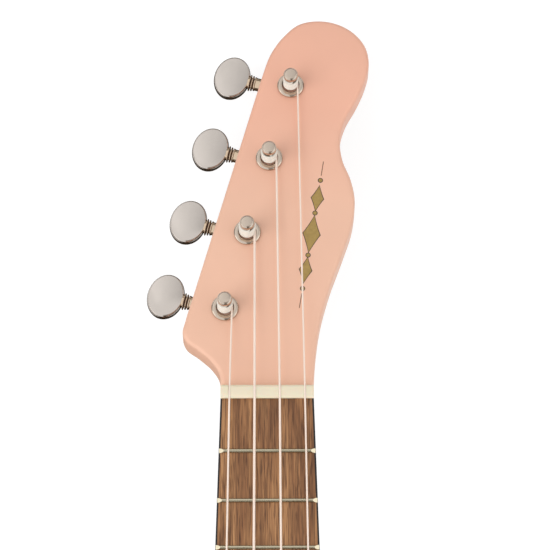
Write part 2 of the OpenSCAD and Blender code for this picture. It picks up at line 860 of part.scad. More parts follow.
module gear(i) {
    bore_gap = 0.05;
    root_half = 0.42 / gear_root_r * 180 / PI;
    tip_half = 0.12 / gear_tip_r * 180 / PI;
    step = 360 / gear_teeth;
    outline = [
        for (k = [0 : gear_teeth - 1])
            let (a = 90 + (k + 0.5) * step)
            each [
                gear_root_r * [cos(a - root_half), sin(a - root_half)],
                gear_tip_r * [cos(a - tip_half), sin(a - tip_half)],
                gear_tip_r * [cos(a + tip_half), sin(a + tip_half)],
                gear_root_r * [cos(a + root_half), sin(a + root_half)]
            ]
    ];
    color("goldenrod") tuner_frame(i) translate([0, 0, gear_low]) linear_extrude(gear_t) difference() {
        polygon(outline);
        square(spigot + 2 * bore_gap, center = true);
    }
}
module gear_screw(i) {
    head_h = 1.2;
    color(nickel) tuner_frame(i) translate([0, 0, gear_low - head_h]) {
        difference() {
            cylinder(r = 2, h = head_h);
            translate([-3, -0.25, -cut_over]) cube([6, 0.5, cut_over + 0.5]);
        }
        translate([0, 0, head_h]) cylinder(r = gear_screw_r, h = gear_screw_len);
    }
}
module ear(x, bore_r) {
    translate([x, 0, 0]) rotate([90, 0, 90]) linear_extrude(plate_t) difference() {
        union() {
            translate([centre_gap - ear_half, worm_z]) square([2 * ear_half, plate_z - worm_z]);
            translate([centre_gap, worm_z]) circle(r = ear_half);
        }
        translate([centre_gap, worm_z]) circle(r = bore_r);
    }
}
module base_plate(i) {
    color(nickel) tuner_frame(i) {
        translate([0, 0, plate_z]) linear_extrude(plate_t) difference() {
            translate([-plate_half, -plate_back]) square([2 * plate_half, plate_back + plate_front]);
            circle(r = post_d / 2 + 0.1);
            for (x = [-tuner_screw_x, tuner_screw_x]) {
                translate([x, tuner_screw_y]) circle(r = tuner_screw_r + 0.1);
            }
        }
        ear(-ear_in - plate_t, shaft_d / 2 + running_gap);
        ear(ear_in, journal_r + running_gap);
    }
}

// Worm: a ridge that climbs a root cylinder, on a grid that follows the helix
module worm_thread() {
    n = worm_steps;
    total = n * worm_turns;
    offsets = [-worm_root_half, -worm_tip_half, worm_tip_half, worm_root_half];
    radii = [worm_root_r, worm_tip_r, worm_tip_r, worm_root_r];
    function angle(i) = 360 * i / n - 180 * worm_turns;
    function along(i) = worm_lead * angle(i) / 360;
    function around(r, i) = [-r * cos(angle(i)), -r * sin(angle(i))];
    grid = [
        for (i = [0 : total]) for (k = [0 : 3])
            let (q = around(radii[k], i))
            [along(i) + offsets[k], q[0], q[1]]
    ];
    function end_ring(x) = [for (j = [0 : n - 1]) let (q = around(worm_root_r, j)) [x, q[0], q[1]]];
    points = concat(grid, end_ring(-worm_half_len), end_ring(worm_half_len));
    function at(i, k) = 4 * i + k;
    function left(j) = 4 * (total + 1) + j % n;
    function right(j) = 4 * (total + 1) + n + j % n;
    ridge = [
        for (i = [0 : total - 1]) for (k = [0 : 2])
            [at(i, k), at(i, k + 1), at(i + 1, k + 1), at(i + 1, k)]
    ];
    root = [for (i = [0 : total - n - 1]) [at(i, 3), at(i + n, 0), at(i + n + 1, 0), at(i + 1, 3)]];
    left_band = [for (j = [0 : n - 2]) [left(j), at(j, 0), at(j + 1, 0), left(j + 1)]];
    left_last = [[left(n - 1), at(n - 1, 0), at(n, 0), at(0, 3), at(0, 0), left(0)]];
    left_step = [[at(0, 0), at(0, 3), at(0, 2), at(0, 1)]];
    first = total - n;
    right_band = [for (j = [1 : n - 1]) [at(first + j, 3), right(j), right(j + 1), at(first + j + 1, 3)]];
    right_last = [[at(first, 3), at(total, 0), at(total, 3), right(0), right(1), at(first + 1, 3)]];
    right_step = [[at(total, 0), at(total, 1), at(total, 2), at(total, 3)]];
    caps = [[for (j = [0 : n - 1]) left(j)], [for (j = [n - 1 : -1 : 0]) right(j)]];
    polyhedron(
        points,
        concat(ridge, root, left_band, left_last, left_step, right_band, right_last, right_step, caps),
        convexity = 8
    );
}
module worm_shaft(i) {
    seat = 0.4;
    lap = 0.3;
    tip = 0.5;
    end_play = 0.2;
    shaft_start = collar_x - seat;
    shoulder_start = collar_x + collar_len + running_gap;
    shoulder_end = -ear_in - plate_t - end_play;
    color(nickel) tuner_frame(i) translate([0, centre_gap, worm_z]) {
        worm_thread();
        translate([shaft_start, 0, 0]) rotate([0, 90, 0])
            cylinder(d = shaft_d, h = lap - worm_half_len - shaft_start);
        translate([shoulder_start, 0, 0]) rotate([0, 90, 0])
            cylinder(d = shoulder_d, h = shoulder_end - shoulder_start);
        translate([worm_half_len - lap, 0, 0]) rotate([0, 90, 0])
            cylinder(r = journal_r, h = ear_in + plate_t + tip + lap - worm_half_len);
    }
}

// Button: an oval with rounded edges, turned by a ringed collar on the shaft
button_sides = 28;
button_levels = [-1, -0.9, -0.6, 0, 0.6, 0.9, 1];
function button_share(level) = 0.9 + 0.1 * sqrt(1 - pow(level, 2));
module button_oval() {
    rings = [
        for (level = button_levels) [
            for (k = [0 : button_sides - 1])
                let (a = 360 * k / button_sides, share = button_share(level))
                [share * button_w / 2 * cos(a), share * button_len / 2 * sin(a), level * button_t / 2]
        ]
    ];
    skin(rings);
}
module button(i) {
    lap = 0.7;
    socket = 0.45;
    shaft_r = shaft_d / 2;
    color(nickel) tuner_frame(i) translate([0, centre_gap, worm_z]) difference() {
        union() {
            translate([-button_reach, 0, 0]) button_oval();
            translate([collar_x, 0, 0]) rotate([0, 90, 0]) rotate_extrude() polygon([
                [0, -lap],
                [2.6, -lap],
                [2.6, 0],
                [3.2, 0.15],
                [3.2, 0.8],
                [2.7, 0.95],
                [2.7, 1.15],
                [2.95, 1.3],
                [2.95, 1.8],
                [2.5, 1.95],
                [2.4, collar_len],
                [0, collar_len]
            ]);
        }
        translate([collar_x - socket, 0, 0]) rotate([0, 90, 0])
            cylinder(r = shaft_r + glue_gap, h = collar_len + socket + cut_over);
    }
}
module tuner_screws() {
    head_h = 1.2;
    color(nickel) for (i = [0 : 3]) {
        tuner_frame(i) for (x = [-tuner_screw_x, tuner_screw_x]) {
            translate([x, tuner_screw_y, plate_z - head_h]) {
                difference() {
                    cylinder(r = 1.9, h = head_h);
                    translate([-2.5, -0.25, -cut_over]) cube([5, 0.5, cut_over + 0.5]);
                    translate([-0.25, -2.5, -cut_over]) cube([0.5, 5, cut_over + 0.5]);
                }
                translate([0, 0, head_h]) cylinder(r = tuner_screw_r, h = plate_t + tuner_screw_len - 0.5);
            }
        }
    }
}

soundboard();
back_plate();
side_left();
side_right();
neck_block();
tail_block();
top_linings();
back_linings();
top_braces();
fan_braces();
bridge_patch();
back_braces();
rosette();
neck();
headstock();
neck_dowels();
fingerboard();
binding_left();
binding_right();
frets();
fret_markers();
nut();
bridge();
saddle();
for (i = [0 : 3]) {
    note = ["g", "c", "e", "a"][i];
    instrument_string(i);
    bushing(i);
    post(i);
    gear(i);
    gear_screw(i);
    base_plate(i);
    worm_shaft(i);
    button(i);
}
tuner_screws();
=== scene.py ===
# %% [markdown]
# # A soprano ukulele, dressed around its CAD model
# The CAD model already holds every solid of the ukulele in metres, lying on its back: X points to
# the treble side, Y from the bridge to the headstock, Z up from the back plate. This lesson loads
# it as a fixed frame, sets the camera and the light, and then replaces the plain solids that show
# most by finer surfaces that are worked out with numpy.

# %% Load the frame
import math

import bpy
import numpy as np
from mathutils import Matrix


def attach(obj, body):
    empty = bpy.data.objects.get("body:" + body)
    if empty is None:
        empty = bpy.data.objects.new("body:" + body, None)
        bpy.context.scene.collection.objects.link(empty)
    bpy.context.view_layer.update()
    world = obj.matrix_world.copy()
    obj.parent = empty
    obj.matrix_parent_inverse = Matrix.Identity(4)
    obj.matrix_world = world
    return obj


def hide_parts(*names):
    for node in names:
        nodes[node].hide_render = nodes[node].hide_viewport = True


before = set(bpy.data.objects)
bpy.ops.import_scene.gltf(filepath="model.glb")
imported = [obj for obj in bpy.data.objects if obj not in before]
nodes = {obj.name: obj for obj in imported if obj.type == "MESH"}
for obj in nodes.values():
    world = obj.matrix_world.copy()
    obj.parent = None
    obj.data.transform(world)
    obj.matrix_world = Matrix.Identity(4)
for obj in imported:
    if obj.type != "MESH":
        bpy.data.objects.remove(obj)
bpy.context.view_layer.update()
NOTES = ("g", "c", "e", "a")

# %% [markdown]
# ## The camera
# The picture looks down on the headstock from over a metre. A short lens close by would make the
# posts lean apart, so the lens is long. Its focal length is in pixels of a 550 pixel frame.

# %% Camera
FRAME_PX = 550
FOCAL_PX = 2979
SENSOR_MM = 36


def in_scene(name, data):
    """A new object that holds the data, linked to the scene."""
    made = bpy.data.objects.new(name, data)
    bpy.context.scene.collection.objects.link(made)
    return made


lens = bpy.data.cameras.new("photo_camera")
lens.sensor_width = SENSOR_MM
lens.lens = FOCAL_PX * SENSOR_MM / FRAME_PX
camera = in_scene("photo_camera", lens)
camera.location = (0.0027, 0.2493, 1.1708)
camera.rotation_euler = (math.radians(7.364), 0, math.radians(-0.113))
bpy.context.scene.camera = camera
bpy.context.scene.view_settings.view_transform = "Standard"
print("lens", round(lens.lens, 1), "mm")

# %% [markdown]
# ## Lamps
# The light is even, with short soft shadows. One small lamp would cut hard ones, so all are large
# squares: a strong one over the bass side, a weaker one opposite, two low ones for upright edges,
# and a faint one at the far end. Mirror rays don't meet them, because cards decide what the metal
# shows.


# %% Lamps
def soft_lamp(name, place, target, side, watts):
    """A square lamp of the given side at place, with its own -Z axis turned to the target."""
    data = bpy.data.lights.new(name, "AREA")
    data.size = side
    data.energy = watts
    lamp = in_scene(name, data)
    lamp.location = place
    aim = np.array(target) - np.array(place)
    tilt = math.atan2(math.hypot(aim[0], aim[1]), -aim[2])
    lamp.rotation_euler = (tilt, 0, math.atan2(-aim[0], aim[1]))
    lamp.visible_glossy = False


LAMPS = (
    ("key_lamp", (-1.0, 0.1, 1.2), (0, 0.42, 0.05), 1.3, 11.5),
    ("fill_lamp", (1.0, 0.5, 1.1), (0, 0.35, 0.05), 1.3, 3.2),
    ("edge_lamp", (1.1, -0.5, 0.25), (0, 0.42, 0.03), 0.8, 7),
    ("low_lamp", (-0.8, -0.6, 0.2), (0, 0.4, 0.03), 0.8, 4),
    ("far_lamp", (0.2, 1.3, 0.8), (0, 0.38, 0.05), 0.8, 1.4),
)
for row in LAMPS:
    soft_lamp(*row)
print("lamps", len(LAMPS))

# %% [markdown]
# ## World and floor
# The ukulele lies on white paper. Lit until it looks white, paper would flood the ukulele with
# light. So world and floor show white only to rays from the camera, a mirror or glass. For
# scattered light the world is weaker and the floor plainly diffuse, which keeps the shadow.


# %% Helpers for nodes
def feed(node, inputs):
    """Feeds a node's inputs, each by a plain value or by another node's output."""
    for name, value in inputs.items():
        if isinstance(value, bpy.types.NodeSocket):
            node.id_data.links.new(value, node.inputs[name])
        else:
            node.inputs[name].default_value = value


def add_node(tree, kind, inputs, operation="", blend=""):
    """The outputs of a new node, with its operation or colour blend set and its inputs fed."""
    node = tree.nodes.new(kind)
    if operation:
        node.operation = operation
    if blend:
        node.data_type, node.blend_type = "RGBA", blend
    feed(node, inputs)
    return node.outputs


def finish_tree(name, roughness, metallic=0.0):
    """A new material with its Principled shader set to a roughness and a metal share."""
    material = bpy.data.materials.new(name)
    material.use_nodes = True
    shader = material.node_tree.nodes["Principled BSDF"]
    feed(shader, {"Roughness": roughness, "Metallic": metallic})
    return material, material.node_tree, shader


def spread(tree, value, low, high, start=0, end=1):
    """A value that goes from start to end, spread between two numbers."""
    ends = {"From Min": start, "From Max": end, "To Min": low, "To Max": high}
    return add_node(tree, "ShaderNodeMapRange", {"Value": value, **ends})["Result"]


def seen_directly(tree):
    """1 for rays that come from the camera, a mirror or glass, and 0 for scattered light."""
    path = add_node(tree, "ShaderNodeLightPath", {})
    seen = path["Is Camera Ray"]
    for kind in ("Is Glossy Ray", "Is Transmission Ray"):
        seen = add_node(tree, "ShaderNodeMath", {0: seen, 1: path[kind]}, "MAXIMUM")[0]
    return seen


print("helpers for nodes ready")

# %% World and floor
WHITE = (1, 1, 1, 1)
AMBIENT = 0.55
FLOOR_HALF = 6
FLOOR_DROP = 0.0005
FLOOR_TONE = (0.34, 0.34, 0.34, 1)
FLOOR_GLOW = 0.77


def stage_card(name, corners, material):
    """One flat face over four corners, which is not attached to the ukulele."""
    mesh = bpy.data.meshes.new(name)
    mesh.from_pydata(corners, [], [(0, 1, 2, 3)])
    mesh.materials.append(material)
    card = in_scene(name, mesh)
    return card


world = bpy.data.worlds.new("studio")
world.use_nodes = True
bpy.context.scene.world = world
sky = world.node_tree
strength = spread(sky, seen_directly(sky), AMBIENT, 1)
feed(sky.nodes["Background"], {"Color": WHITE, "Strength": strength})

floor_white, tree, shader = finish_tree("floor_white", 0.9)
dimmed = {0: seen_directly(tree), 1: FLOOR_GLOW}
glow = add_node(tree, "ShaderNodeMath", dimmed, "MULTIPLY")[0]
feed(shader, {"Base Color": FLOOR_TONE, "Specular IOR Level": 0})
feed(shader, {"Emission Color": WHITE, "Emission Strength": glow})
floor_signs = ((-1, -1), (1, -1), (1, 1), (-1, 1))
floor_corners = [(x * FLOOR_HALF, y * FLOOR_HALF, -FLOOR_DROP) for x, y in floor_signs]
stage_card("floor", floor_corners, floor_white)
print("stage: floor", 2 * FLOOR_HALF, "m wide")

# %% [markdown]
# ## Cards for the metal
# Polished metal needs something to mirror, or it looks like grey paint. As in a studio, cards
# stand round the object: a dark sheet under the buttons, low boards, a dark board at the body's
# end with a dusky one over it, two bright windows, and strips that darken to the treble side.
# Lamps would also light the paint, but only mirror rays meet the cards, and no view shows them.


# %% Cards for the metal
def mirror_card(name, corners, shade):
    """A flat card of four corners that only mirror rays meet, and that shows one colour."""
    material, _, shader = finish_tree(name, 0.5)
    feed(shader, {"Base Color": (0, 0, 0, 1), "Specular IOR Level": 0})
    feed(shader, {"Emission Color": (*shade, 1), "Emission Strength": 1})
    card = stage_card(name, corners, material)
    card.visible_camera = False
    card.visible_diffuse = False
    card.visible_shadow = False
    card.visible_transmission = False


def upright(first, second, top, foot=0):
    """Four corners of a board that stands over the line between two places on the floor."""
    (x0, y0), (x1, y1) = first, second
    return [(x0, y0, foot), (x1, y1, foot), (x1, y1, top), (x0, y0, top)]


DARK = (0.09, 0.065, 0.045)
DIM = (0.25, 0.23, 0.21)
DUSK = (0.4, 0.38, 0.36)
BRIGHT = (1.6, 1.58, 1.55)
LEFT, RIGHT, NEAR, FAR = -1.2, 1.2, -0.9, 1.5
SHEET = ((-0.425, NEAR), (0.02, NEAR), (0.02, 0.62), (-0.015, 0.62))
SHEET_DROP = 0.0002
LOW_BOARDS = ((0.35, DARK), (0.35, DARK), (0.55, DIM), (0.35, DIM))
HOOD_FOOT = ((-0.1, -0.6), (0.55, -0.6))
HOOD_END = ((0.55, 0.82), (-0.1, 0.82))
HOOD_TOP = 1.25
WINDOW_X = 1.19
WINDOW_END = 0.6
WINDOW_FOOT, WINDOW_TOP = 0.36, 0.9
mirror_card("card_sheet", [(x, y, -SHEET_DROP) for x, y in SHEET], DARK)
rim = [(LEFT, NEAR), (RIGHT, NEAR), (RIGHT, FAR), (LEFT, FAR)]
for k, (height, shade) in enumerate(LOW_BOARDS):
    mirror_card("card_low_" + str(k), upright(rim[k], rim[(k + 1) % 4], height), shade)
mirror_card("card_near", upright(*HOOD_FOOT, HOOD_TOP), DARK)
mirror_card("card_over", [(x, y, HOOD_TOP) for x, y in (*HOOD_FOOT, *HOOD_END)], DUSK)
for name, x in (("card_bright_left", -WINDOW_X), ("card_bright_right", WINDOW_X)):
    window = upright((x, NEAR), (x, WINDOW_END), WINDOW_TOP, WINDOW_FOOT)
    mirror_card(name, window, BRIGHT)
print("cards", len(LOW_BOARDS) + 5)

# %% Strips at the far end
STRIPS = 10
STRIP_START, STRIP_W = -0.3, 0.08
STRIP_LOW, STRIP_HIGH = (1.0, 0.45), (1.5, 1.7)
STRIP_TONE, STRIP_FALL = 1.18, 0.09
for k in range(STRIPS):
    x0 = STRIP_START + STRIP_W * k
    x1 = x0 + STRIP_W
    corners = [(x0, *STRIP_LOW), (x1, *STRIP_LOW), (x1, *STRIP_HIGH), (x0, *STRIP_HIGH)]
    mirror_card("card_grey_" + str(k), corners, [STRIP_TONE - STRIP_FALL * k] * 3)
print("strips", STRIPS)

# %% [markdown]
# ## Finishes
# Each finish is a small node tree on Object coordinates, so its grain stays where it is on the
# piece. Noise that is stretched along one axis becomes grain or brushing.


# %% Helpers for finishes
def object_place(tree):
    """The place of a point on its object, in metres."""
    return add_node(tree, "ShaderNodeTexCoord", {})["Object"]


def stretched_noise(tree, scale, detail=4, rough=0.55, warp=0.0):
    """Noise with so many waves per metre, for all axes or along x, y and z."""
    stretch = {"Vector": object_place(tree), "Scale": np.broadcast_to(scale, 3).tolist()}
    place = add_node(tree, "ShaderNodeMapping", stretch)["Vector"]
    look = {"Scale": 1, "Detail": detail, "Roughness": rough, "Distortion": warp}
    return add_node(tree, "ShaderNodeTexNoise", {"Vector": place, **look})[0]


def ramp(tree, value, stops):
    """Colours at places from 0 to 1 along a value, blended in between."""
    band = add_node(tree, "ShaderNodeValToRGB", {0: value})["Color"]
    elements = band.node.color_ramp.elements
    while len(elements) < len(stops):
        elements.new(0.5)
    for element, (at, colour) in zip(elements, stops):
        element.position = at
        element.color = (*colour, 1)
    return band


def drift(tree, cloud, base, change, low=0.3, high=0.7):
    """A base colour that a cloud makes darker and lighter by a share."""
    dark, light = [tuple(c * (1 + share) for c in base) for share in (-change, change)]
    return ramp(tree, cloud, [(low, dark), (high, light)])


def mixed(tree, kind, share, first, second):
    """Two colours put together by a blend kind and a share, which may be a number or a value."""
    inputs = {"Factor": share, "A": first, "B": second}
    return add_node(tree, "ShaderNodeMix", inputs, blend=kind)["Result"]


def bump(tree, height, depth, strength):
    """The normal of a bump of that depth in metres."""
    inputs = {"Strength": strength, "Distance": depth, "Height": height}
    return add_node(tree, "ShaderNodeBump", inputs)["Normal"]


print("helpers for finishes ready")

# %% [markdown]
# ### Satin paint
# Body, neck and headstock have a shell-pink satin paint. One flat colour would look like plastic,
# and sprayed paint isn't quite even: noise gives faint clouds in colour and gloss and a fine
# orange-peel texture. The place along Y blends the body's pink into a deeper pink towards the
# headstock's tip, so the headstock is paler near the nut: that paler pink is a painted sheen.

# %% Satin paint
PINK = (0.87, 0.525, 0.378)
TIP_PINK = (0.875, 0.472, 0.338)
SHEEN_FADE_FROM, SHEEN_FADE_TO = 0.42, 0.46
satin_pink, tree, shader = finish_tree("satin_pink", 0.42)
cloud = stretched_noise(tree, 35, detail=3)
sheen_and_tip_tones = [drift(tree, cloud, tone, 0.025) for tone in (PINK, TIP_PINK)]
along = add_node(tree, "ShaderNodeSeparateXYZ", {0: object_place(tree)})["Y"]
# Below these heights the paler pink stays on the headstock as a painted sheen.
painted_sheen_share = spread(tree, along, 0, 1, SHEEN_FADE_FROM, SHEEN_FADE_TO)
peel = bump(tree, stretched_noise(tree, 900, detail=2), 0.00002, 0.35)
feed(shader, {"Base Color": mixed(tree, "MIX", painted_sheen_share, *sheen_and_tip_tones), "Normal": peel})
feed(shader, {"Roughness": spread(tree, cloud, 0.38, 0.48), "Specular IOR Level": 0.4})
print("finish", satin_pink.name)

# %% [markdown]
# ### Walnut
# Fingerboard and bridge are open-grained walnut. A picture of wood would repeat and blur in close
# views, so the grain is worked out: broad streaks for the bands, a finer noise for the long
# fibres, and the darkest part of a third one for the thin pores, which also dent the surface.


# %% Walnut
WALNUT_TONES = [
    *((0.32, (0.16, 0.066, 0.026)), (0.44, (0.252, 0.112, 0.045))),
    *((0.55, (0.35, 0.17, 0.071)), (0.7, (0.485, 0.25, 0.11))),
]


def walnut_finish(name, along):
    """Walnut with its grain along an axis: 1 for Y, or 0 for X."""
    material, tree, shader = finish_tree(name, 0.5)

    def grain(across, length):
        scale = [across, across, across]
        scale[along] = length
        return scale

    streak = stretched_noise(tree, grain(200, 14), detail=4, rough=0.6, warp=0.5)
    fibre = stretched_noise(tree, grain(1700, 45), detail=3, rough=0.65)
    pore = stretched_noise(tree, grain(2700, 120), detail=2, rough=0.5)
    tone = ramp(tree, streak, WALNUT_TONES)
    thread = ramp(tree, fibre, [(0.32, (0.42, 0.38, 0.34)), (0.64, (1.25, 1.25, 1.22))])
    pit = ramp(tree, pore, [(0.36, (0.4, 0.34, 0.3)), (0.47, (1.03, 1.03, 1.03))])
    colour = mixed(tree, "MULTIPLY", 0.85, tone, thread)
    colour = mixed(tree, "MULTIPLY", 0.9, colour, pit)
    feed(shader, {"Base Color": colour, "Roughness": spread(tree, fibre, 0.42, 0.62)})
    feed(shader, {"Normal": bump(tree, pit, 0.00006, 0.5)})
    return material


walnut_along = walnut_finish("walnut_along", 1)
walnut_across = walnut_finish("walnut_across", 0)
print("finish", walnut_along.name, walnut_across.name)

# %% [markdown]
# ### Metals
# The tuners are polished nickel, warmer and darker than chrome. Handling leaves faint hazy
# patches, so the roughness varies. Posts are yellower than the buttons. Collars and shafts are
# yellower still, partly as a painted reflection of the pink headstock, and a band round the middle
# of the buttons' rims is painted darker as a painted reflection of dark surroundings. The frets are
# nickel silver, the gears brass, the screws steel. They differ only in numbers, so one function
# makes them all.


# %% Metals
def metal_finish(name, base, low=0.1, high=0.16, scale=260, depth=0.00001):
    """A metal whose roughness drifts between two values, with a faint bump."""
    material, tree, shader = finish_tree(name, low, metallic=1.0)
    haze = stretched_noise(tree, scale)
    feed(shader, {"Base Color": drift(tree, haze, base, 0.02, 0.25, 0.75)})
    feed(shader, {"Roughness": spread(tree, haze, low, high)})
    feed(shader, {"Normal": bump(tree, haze, depth, 0.2)})
    return material


nickel = metal_finish("polished_nickel", (0.62, 0.565, 0.52))
warm_nickel = metal_finish("warm_nickel", (0.6, 0.505, 0.42))
# Darker nickel for the middle of the buttons' rims: a painted reflection of dark surroundings.
rim_painted_dark_nickel = metal_finish("rim_painted_dark_nickel", (0.3, 0.265, 0.235), 0.08, 0.14)
# Collars and worm shafts: nickel tinted yellow-brown, partly a painted reflection of the pink
# headstock.
shaft_nickel_pink_reflection = metal_finish("shaft_nickel_pink_reflection", (0.68, 0.53, 0.385))
fret_metal = metal_finish("fret_nickel_silver", (0.64, 0.58, 0.43), 0.16, 0.3, (90, 900, 900))
gear_brass = metal_finish("cut_brass", (0.65, 0.46, 0.2), 0.25, 0.42, (600, 600, 120), 0.00002)
screw_steel = metal_finish("plated_steel", (0.55, 0.53, 0.51), 0.18, 0.32, 400)
print("finish", nickel.name, fret_metal.name, gear_brass.name, screw_steel.name)

# %% [markdown]
# ### Nut, strings, binding, bare wood and inlays
# The nut and saddle are cream synthetic bone. The strings are pale nylon: the stretched run is
# painted pink, the pink paint seen through the clear nylon, and the wound turns are whiter. The
# binding is black, the dots are pearl, and the wood in the box is bare spruce. Two dark finishes
# are painted shade, for the gap round a post and a collar's grooves. All are calm, so one function
# does for them.


# %% Other finishes
def plain_finish(name, base, roughness, change=0.05, scale=300, depth=0.00002, more=()):
    """A colour with a faint cloud, a drifting gloss, a fine bump and more shader inputs."""
    material, tree, shader = finish_tree(name, roughness)
    cloud = stretched_noise(tree, scale)
    gloss = spread(tree, cloud, 0.85 * roughness, 1.15 * roughness)
    feed(shader, {"Base Color": drift(tree, cloud, base, change), "Roughness": gloss})
    feed(shader, {"Normal": bump(tree, cloud, depth, 0.3), **dict(more)})
    return material


soft_glow = {"Subsurface Weight": 0.15, "Subsurface Scale": 0.001}
clear = {"Transmission Weight": 0.05}
gilt = {"Metallic": 0.6}
cream_bone = plain_finish(
    "cream_bone", (0.84, 0.75, 0.56), 0.36, 0.03, (60, 400, 400), more=soft_glow
)
# The stretched run: its pink is painted, the pink paint seen through the clear nylon.
nylon_run_painted_pink = plain_finish("nylon_run_painted_pink", (0.95, 0.79, 0.68), 0.3, 0.02, (900, 30, 900), more=clear)
wound_nylon = plain_finish("wound_nylon", (0.82, 0.78, 0.7), 0.2, 0.02, 900)
black_binding = plain_finish("black_binding", (0.014, 0.014, 0.016), 0.3, 0.2)
pearl = plain_finish("pearl", (0.78, 0.77, 0.74), 0.2, 0.12, (500, 220, 500))
bare_spruce = plain_finish("bare_spruce", (0.58, 0.42, 0.24), 0.7, 0.16, (600, 18, 600), 0.0001)
gold_leaf = plain_finish("gold_leaf", (0.42, 0.285, 0.095), 0.35, 0.12, 700, more=gilt)
dark_line = plain_finish("dark_line", (0.035, 0.02, 0.015), 0.45, 0.1)
# Near black for the walls of the gap round a post: painted shade.
gap_painted_shade = plain_finish("gap_painted_shade", (0.03, 0.022, 0.018), 0.6, 0.2)
# Brown for the floors of the collars' grooves: painted shade.
groove_painted_shade = plain_finish("groove_painted_shade", (0.12, 0.066, 0.034), 0.5, 0.2)
brown_line = plain_finish("brown_line", (0.22, 0.1, 0.06), 0.45, 0.1)
print("finish", cream_bone.name, nylon_run_painted_pink.name, black_binding.name, pearl.name, bare_spruce.name)

# %% [markdown]
# ## Surfaces from arrays
# Every new piece is a skin over rings of points: the rings form a grid, and the faces come from
# its numbering. Work is done in millimetres in the frame of the ukulele, and turned into metres at
# the end. The sign of the enclosed volume tells which way the faces point.

# %% Skins and pieces
MM = 0.001


def ring_skin(rings, loop=False):
    """Points and faces over closed rings: point k of a ring joins point k of the next ring.
    With loop the last ring joins the first, and otherwise flat caps close the two ends."""
    count, around = rings.shape[:2]
    i, k = np.meshgrid(np.arange(count if loop else count - 1), np.arange(around), indexing="ij")
    after = (i + 1) % count
    beside = (k + 1) % around
    quads = np.stack(
        [i * around + k, i * around + beside, after * around + beside, after * around + k], -1
    ).reshape(-1, 4)
    ends = []
    if not loop:
        ends = [np.arange(around)[::-1], (count - 1) * around + np.arange(around)]
    flat = rings.reshape(-1, 3)
    corner = flat[quads]
    volume = np.einsum("ij,ij->i", corner[:, 0], np.cross(corner[:, 1], corner[:, 2])).sum()
    volume += np.einsum("ij,ij->i", corner[:, 0], np.cross(corner[:, 2], corner[:, 3])).sum()
    for end in ends:
        fan = flat[end]
        volume += (np.cross(fan[1:-1], fan[2:]) @ fan[0]).sum()
    if volume < 0:
        quads = quads[:, ::-1]
        ends = [end[::-1] for end in ends]
    return flat, quads, ends


def make_piece(name, grids, material, stands_for="", body="instrument", loop=False, sharp=38):
    """One object from one or more grids of rings, in metres, smooth except over sharp edges."""
    spots, faces, start = [], [], 0
    for grid in grids:
        flat, quads, ends = ring_skin(grid, loop)
        spots.append(flat)
        faces += (quads + start).tolist() + [(end + start).tolist() for end in ends]
        start += len(flat)
    mesh = bpy.data.meshes.new(name)
    mesh.from_pydata((np.concatenate(spots) * MM).tolist(), [], faces)
    mesh.materials.append(material)
    mesh.shade_smooth()
    mesh.set_sharp_from_angle(angle=math.radians(sharp))
    piece = in_scene(name, mesh)
    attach(piece, body)
    if stands_for:
        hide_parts(stands_for)
    return piece


def painted(name, rings, stands_for, loop=False):
    """A piece in the satin paint."""
    return make_piece(name, [rings], satin_pink, stands_for, loop=loop)


def second_finish(piece, material, chosen):
    """A second finish on the chosen faces: one yes or no for each face, from the first face on."""
    piece.data.materials.append(material)
    index = np.zeros(len(piece.data.polygons), np.int32)
    index[: len(chosen)] = chosen
    piece.data.polygons.foreach_set("material_index", index)


def dress(material, *names):
    """Gives shown CAD nodes their finish."""
    for name in names:
        nodes[name].data.materials.clear()
        nodes[name].data.materials.append(material)


print("helpers for skins ready")

# %% [markdown]
# ### Lines
# A ukulele's shapes come from few moves: a turned profile, eased corners, a smooth curve through
# points, a plate with rounded edges. Modifiers could do some of it, but worked-out lines keep
# their points evenly spaced.

# %% Helpers for lines
TURNED_AROUND = 72


def points(*coordinates):
    """Points from their coordinates, each an array or one number for all of them."""
    return np.stack(np.broadcast_arrays(*coordinates), -1)


def join(*lines):
    """Lines or rings, one after the other."""
    return np.concatenate(lines)


def blend(a, b, t):
    """From a to b by the share t."""
    return a + (b - a) * t


def unit(v):
    """Vectors scaled to length one."""
    return v / np.linalg.norm(v, axis=-1, keepdims=True)


def circle(count):
    """Angles once round, without the last one, which would be the first again."""
    return np.linspace(0, 2 * np.pi, count, endpoint=False)


def at_height(flat, z):
    """Flat points lifted to a height."""
    return points(flat[..., 0], flat[..., 1], z)


def revolve(profile):
    """Rings of a profile of (radius, height) turned about Z: x = r cos a, y = r sin a."""
    a = circle(TURNED_AROUND)
    r, h = np.asarray(profile, float).T[..., None]
    return points(r * np.cos(a), r * np.sin(a), h)


def rounded(corners, radius, steps=5):
    """An open line of corners with each inner corner replaced by a small curve: from a point on
    the edge before it, over the corner, to a point on the edge after it."""
    p = np.asarray(corners, float)
    before, after = p[:-2] - p[1:-1], p[2:] - p[1:-1]
    reach = np.minimum(np.linalg.norm(before, axis=1), np.linalg.norm(after, axis=1)) * 0.48
    reach = np.minimum(reach, radius)[:, None, None]
    t = np.linspace(0, 1, steps)[None, :, None]
    first = p[1:-1, None] + unit(before)[:, None] * reach
    last = p[1:-1, None] + unit(after)[:, None] * reach
    curve = (1 - t) ** 2 * first + 2 * t * (1 - t) * p[1:-1, None] + t**2 * last
    return join(p[:1], curve.reshape(-1, p.shape[1]), p[-1:])


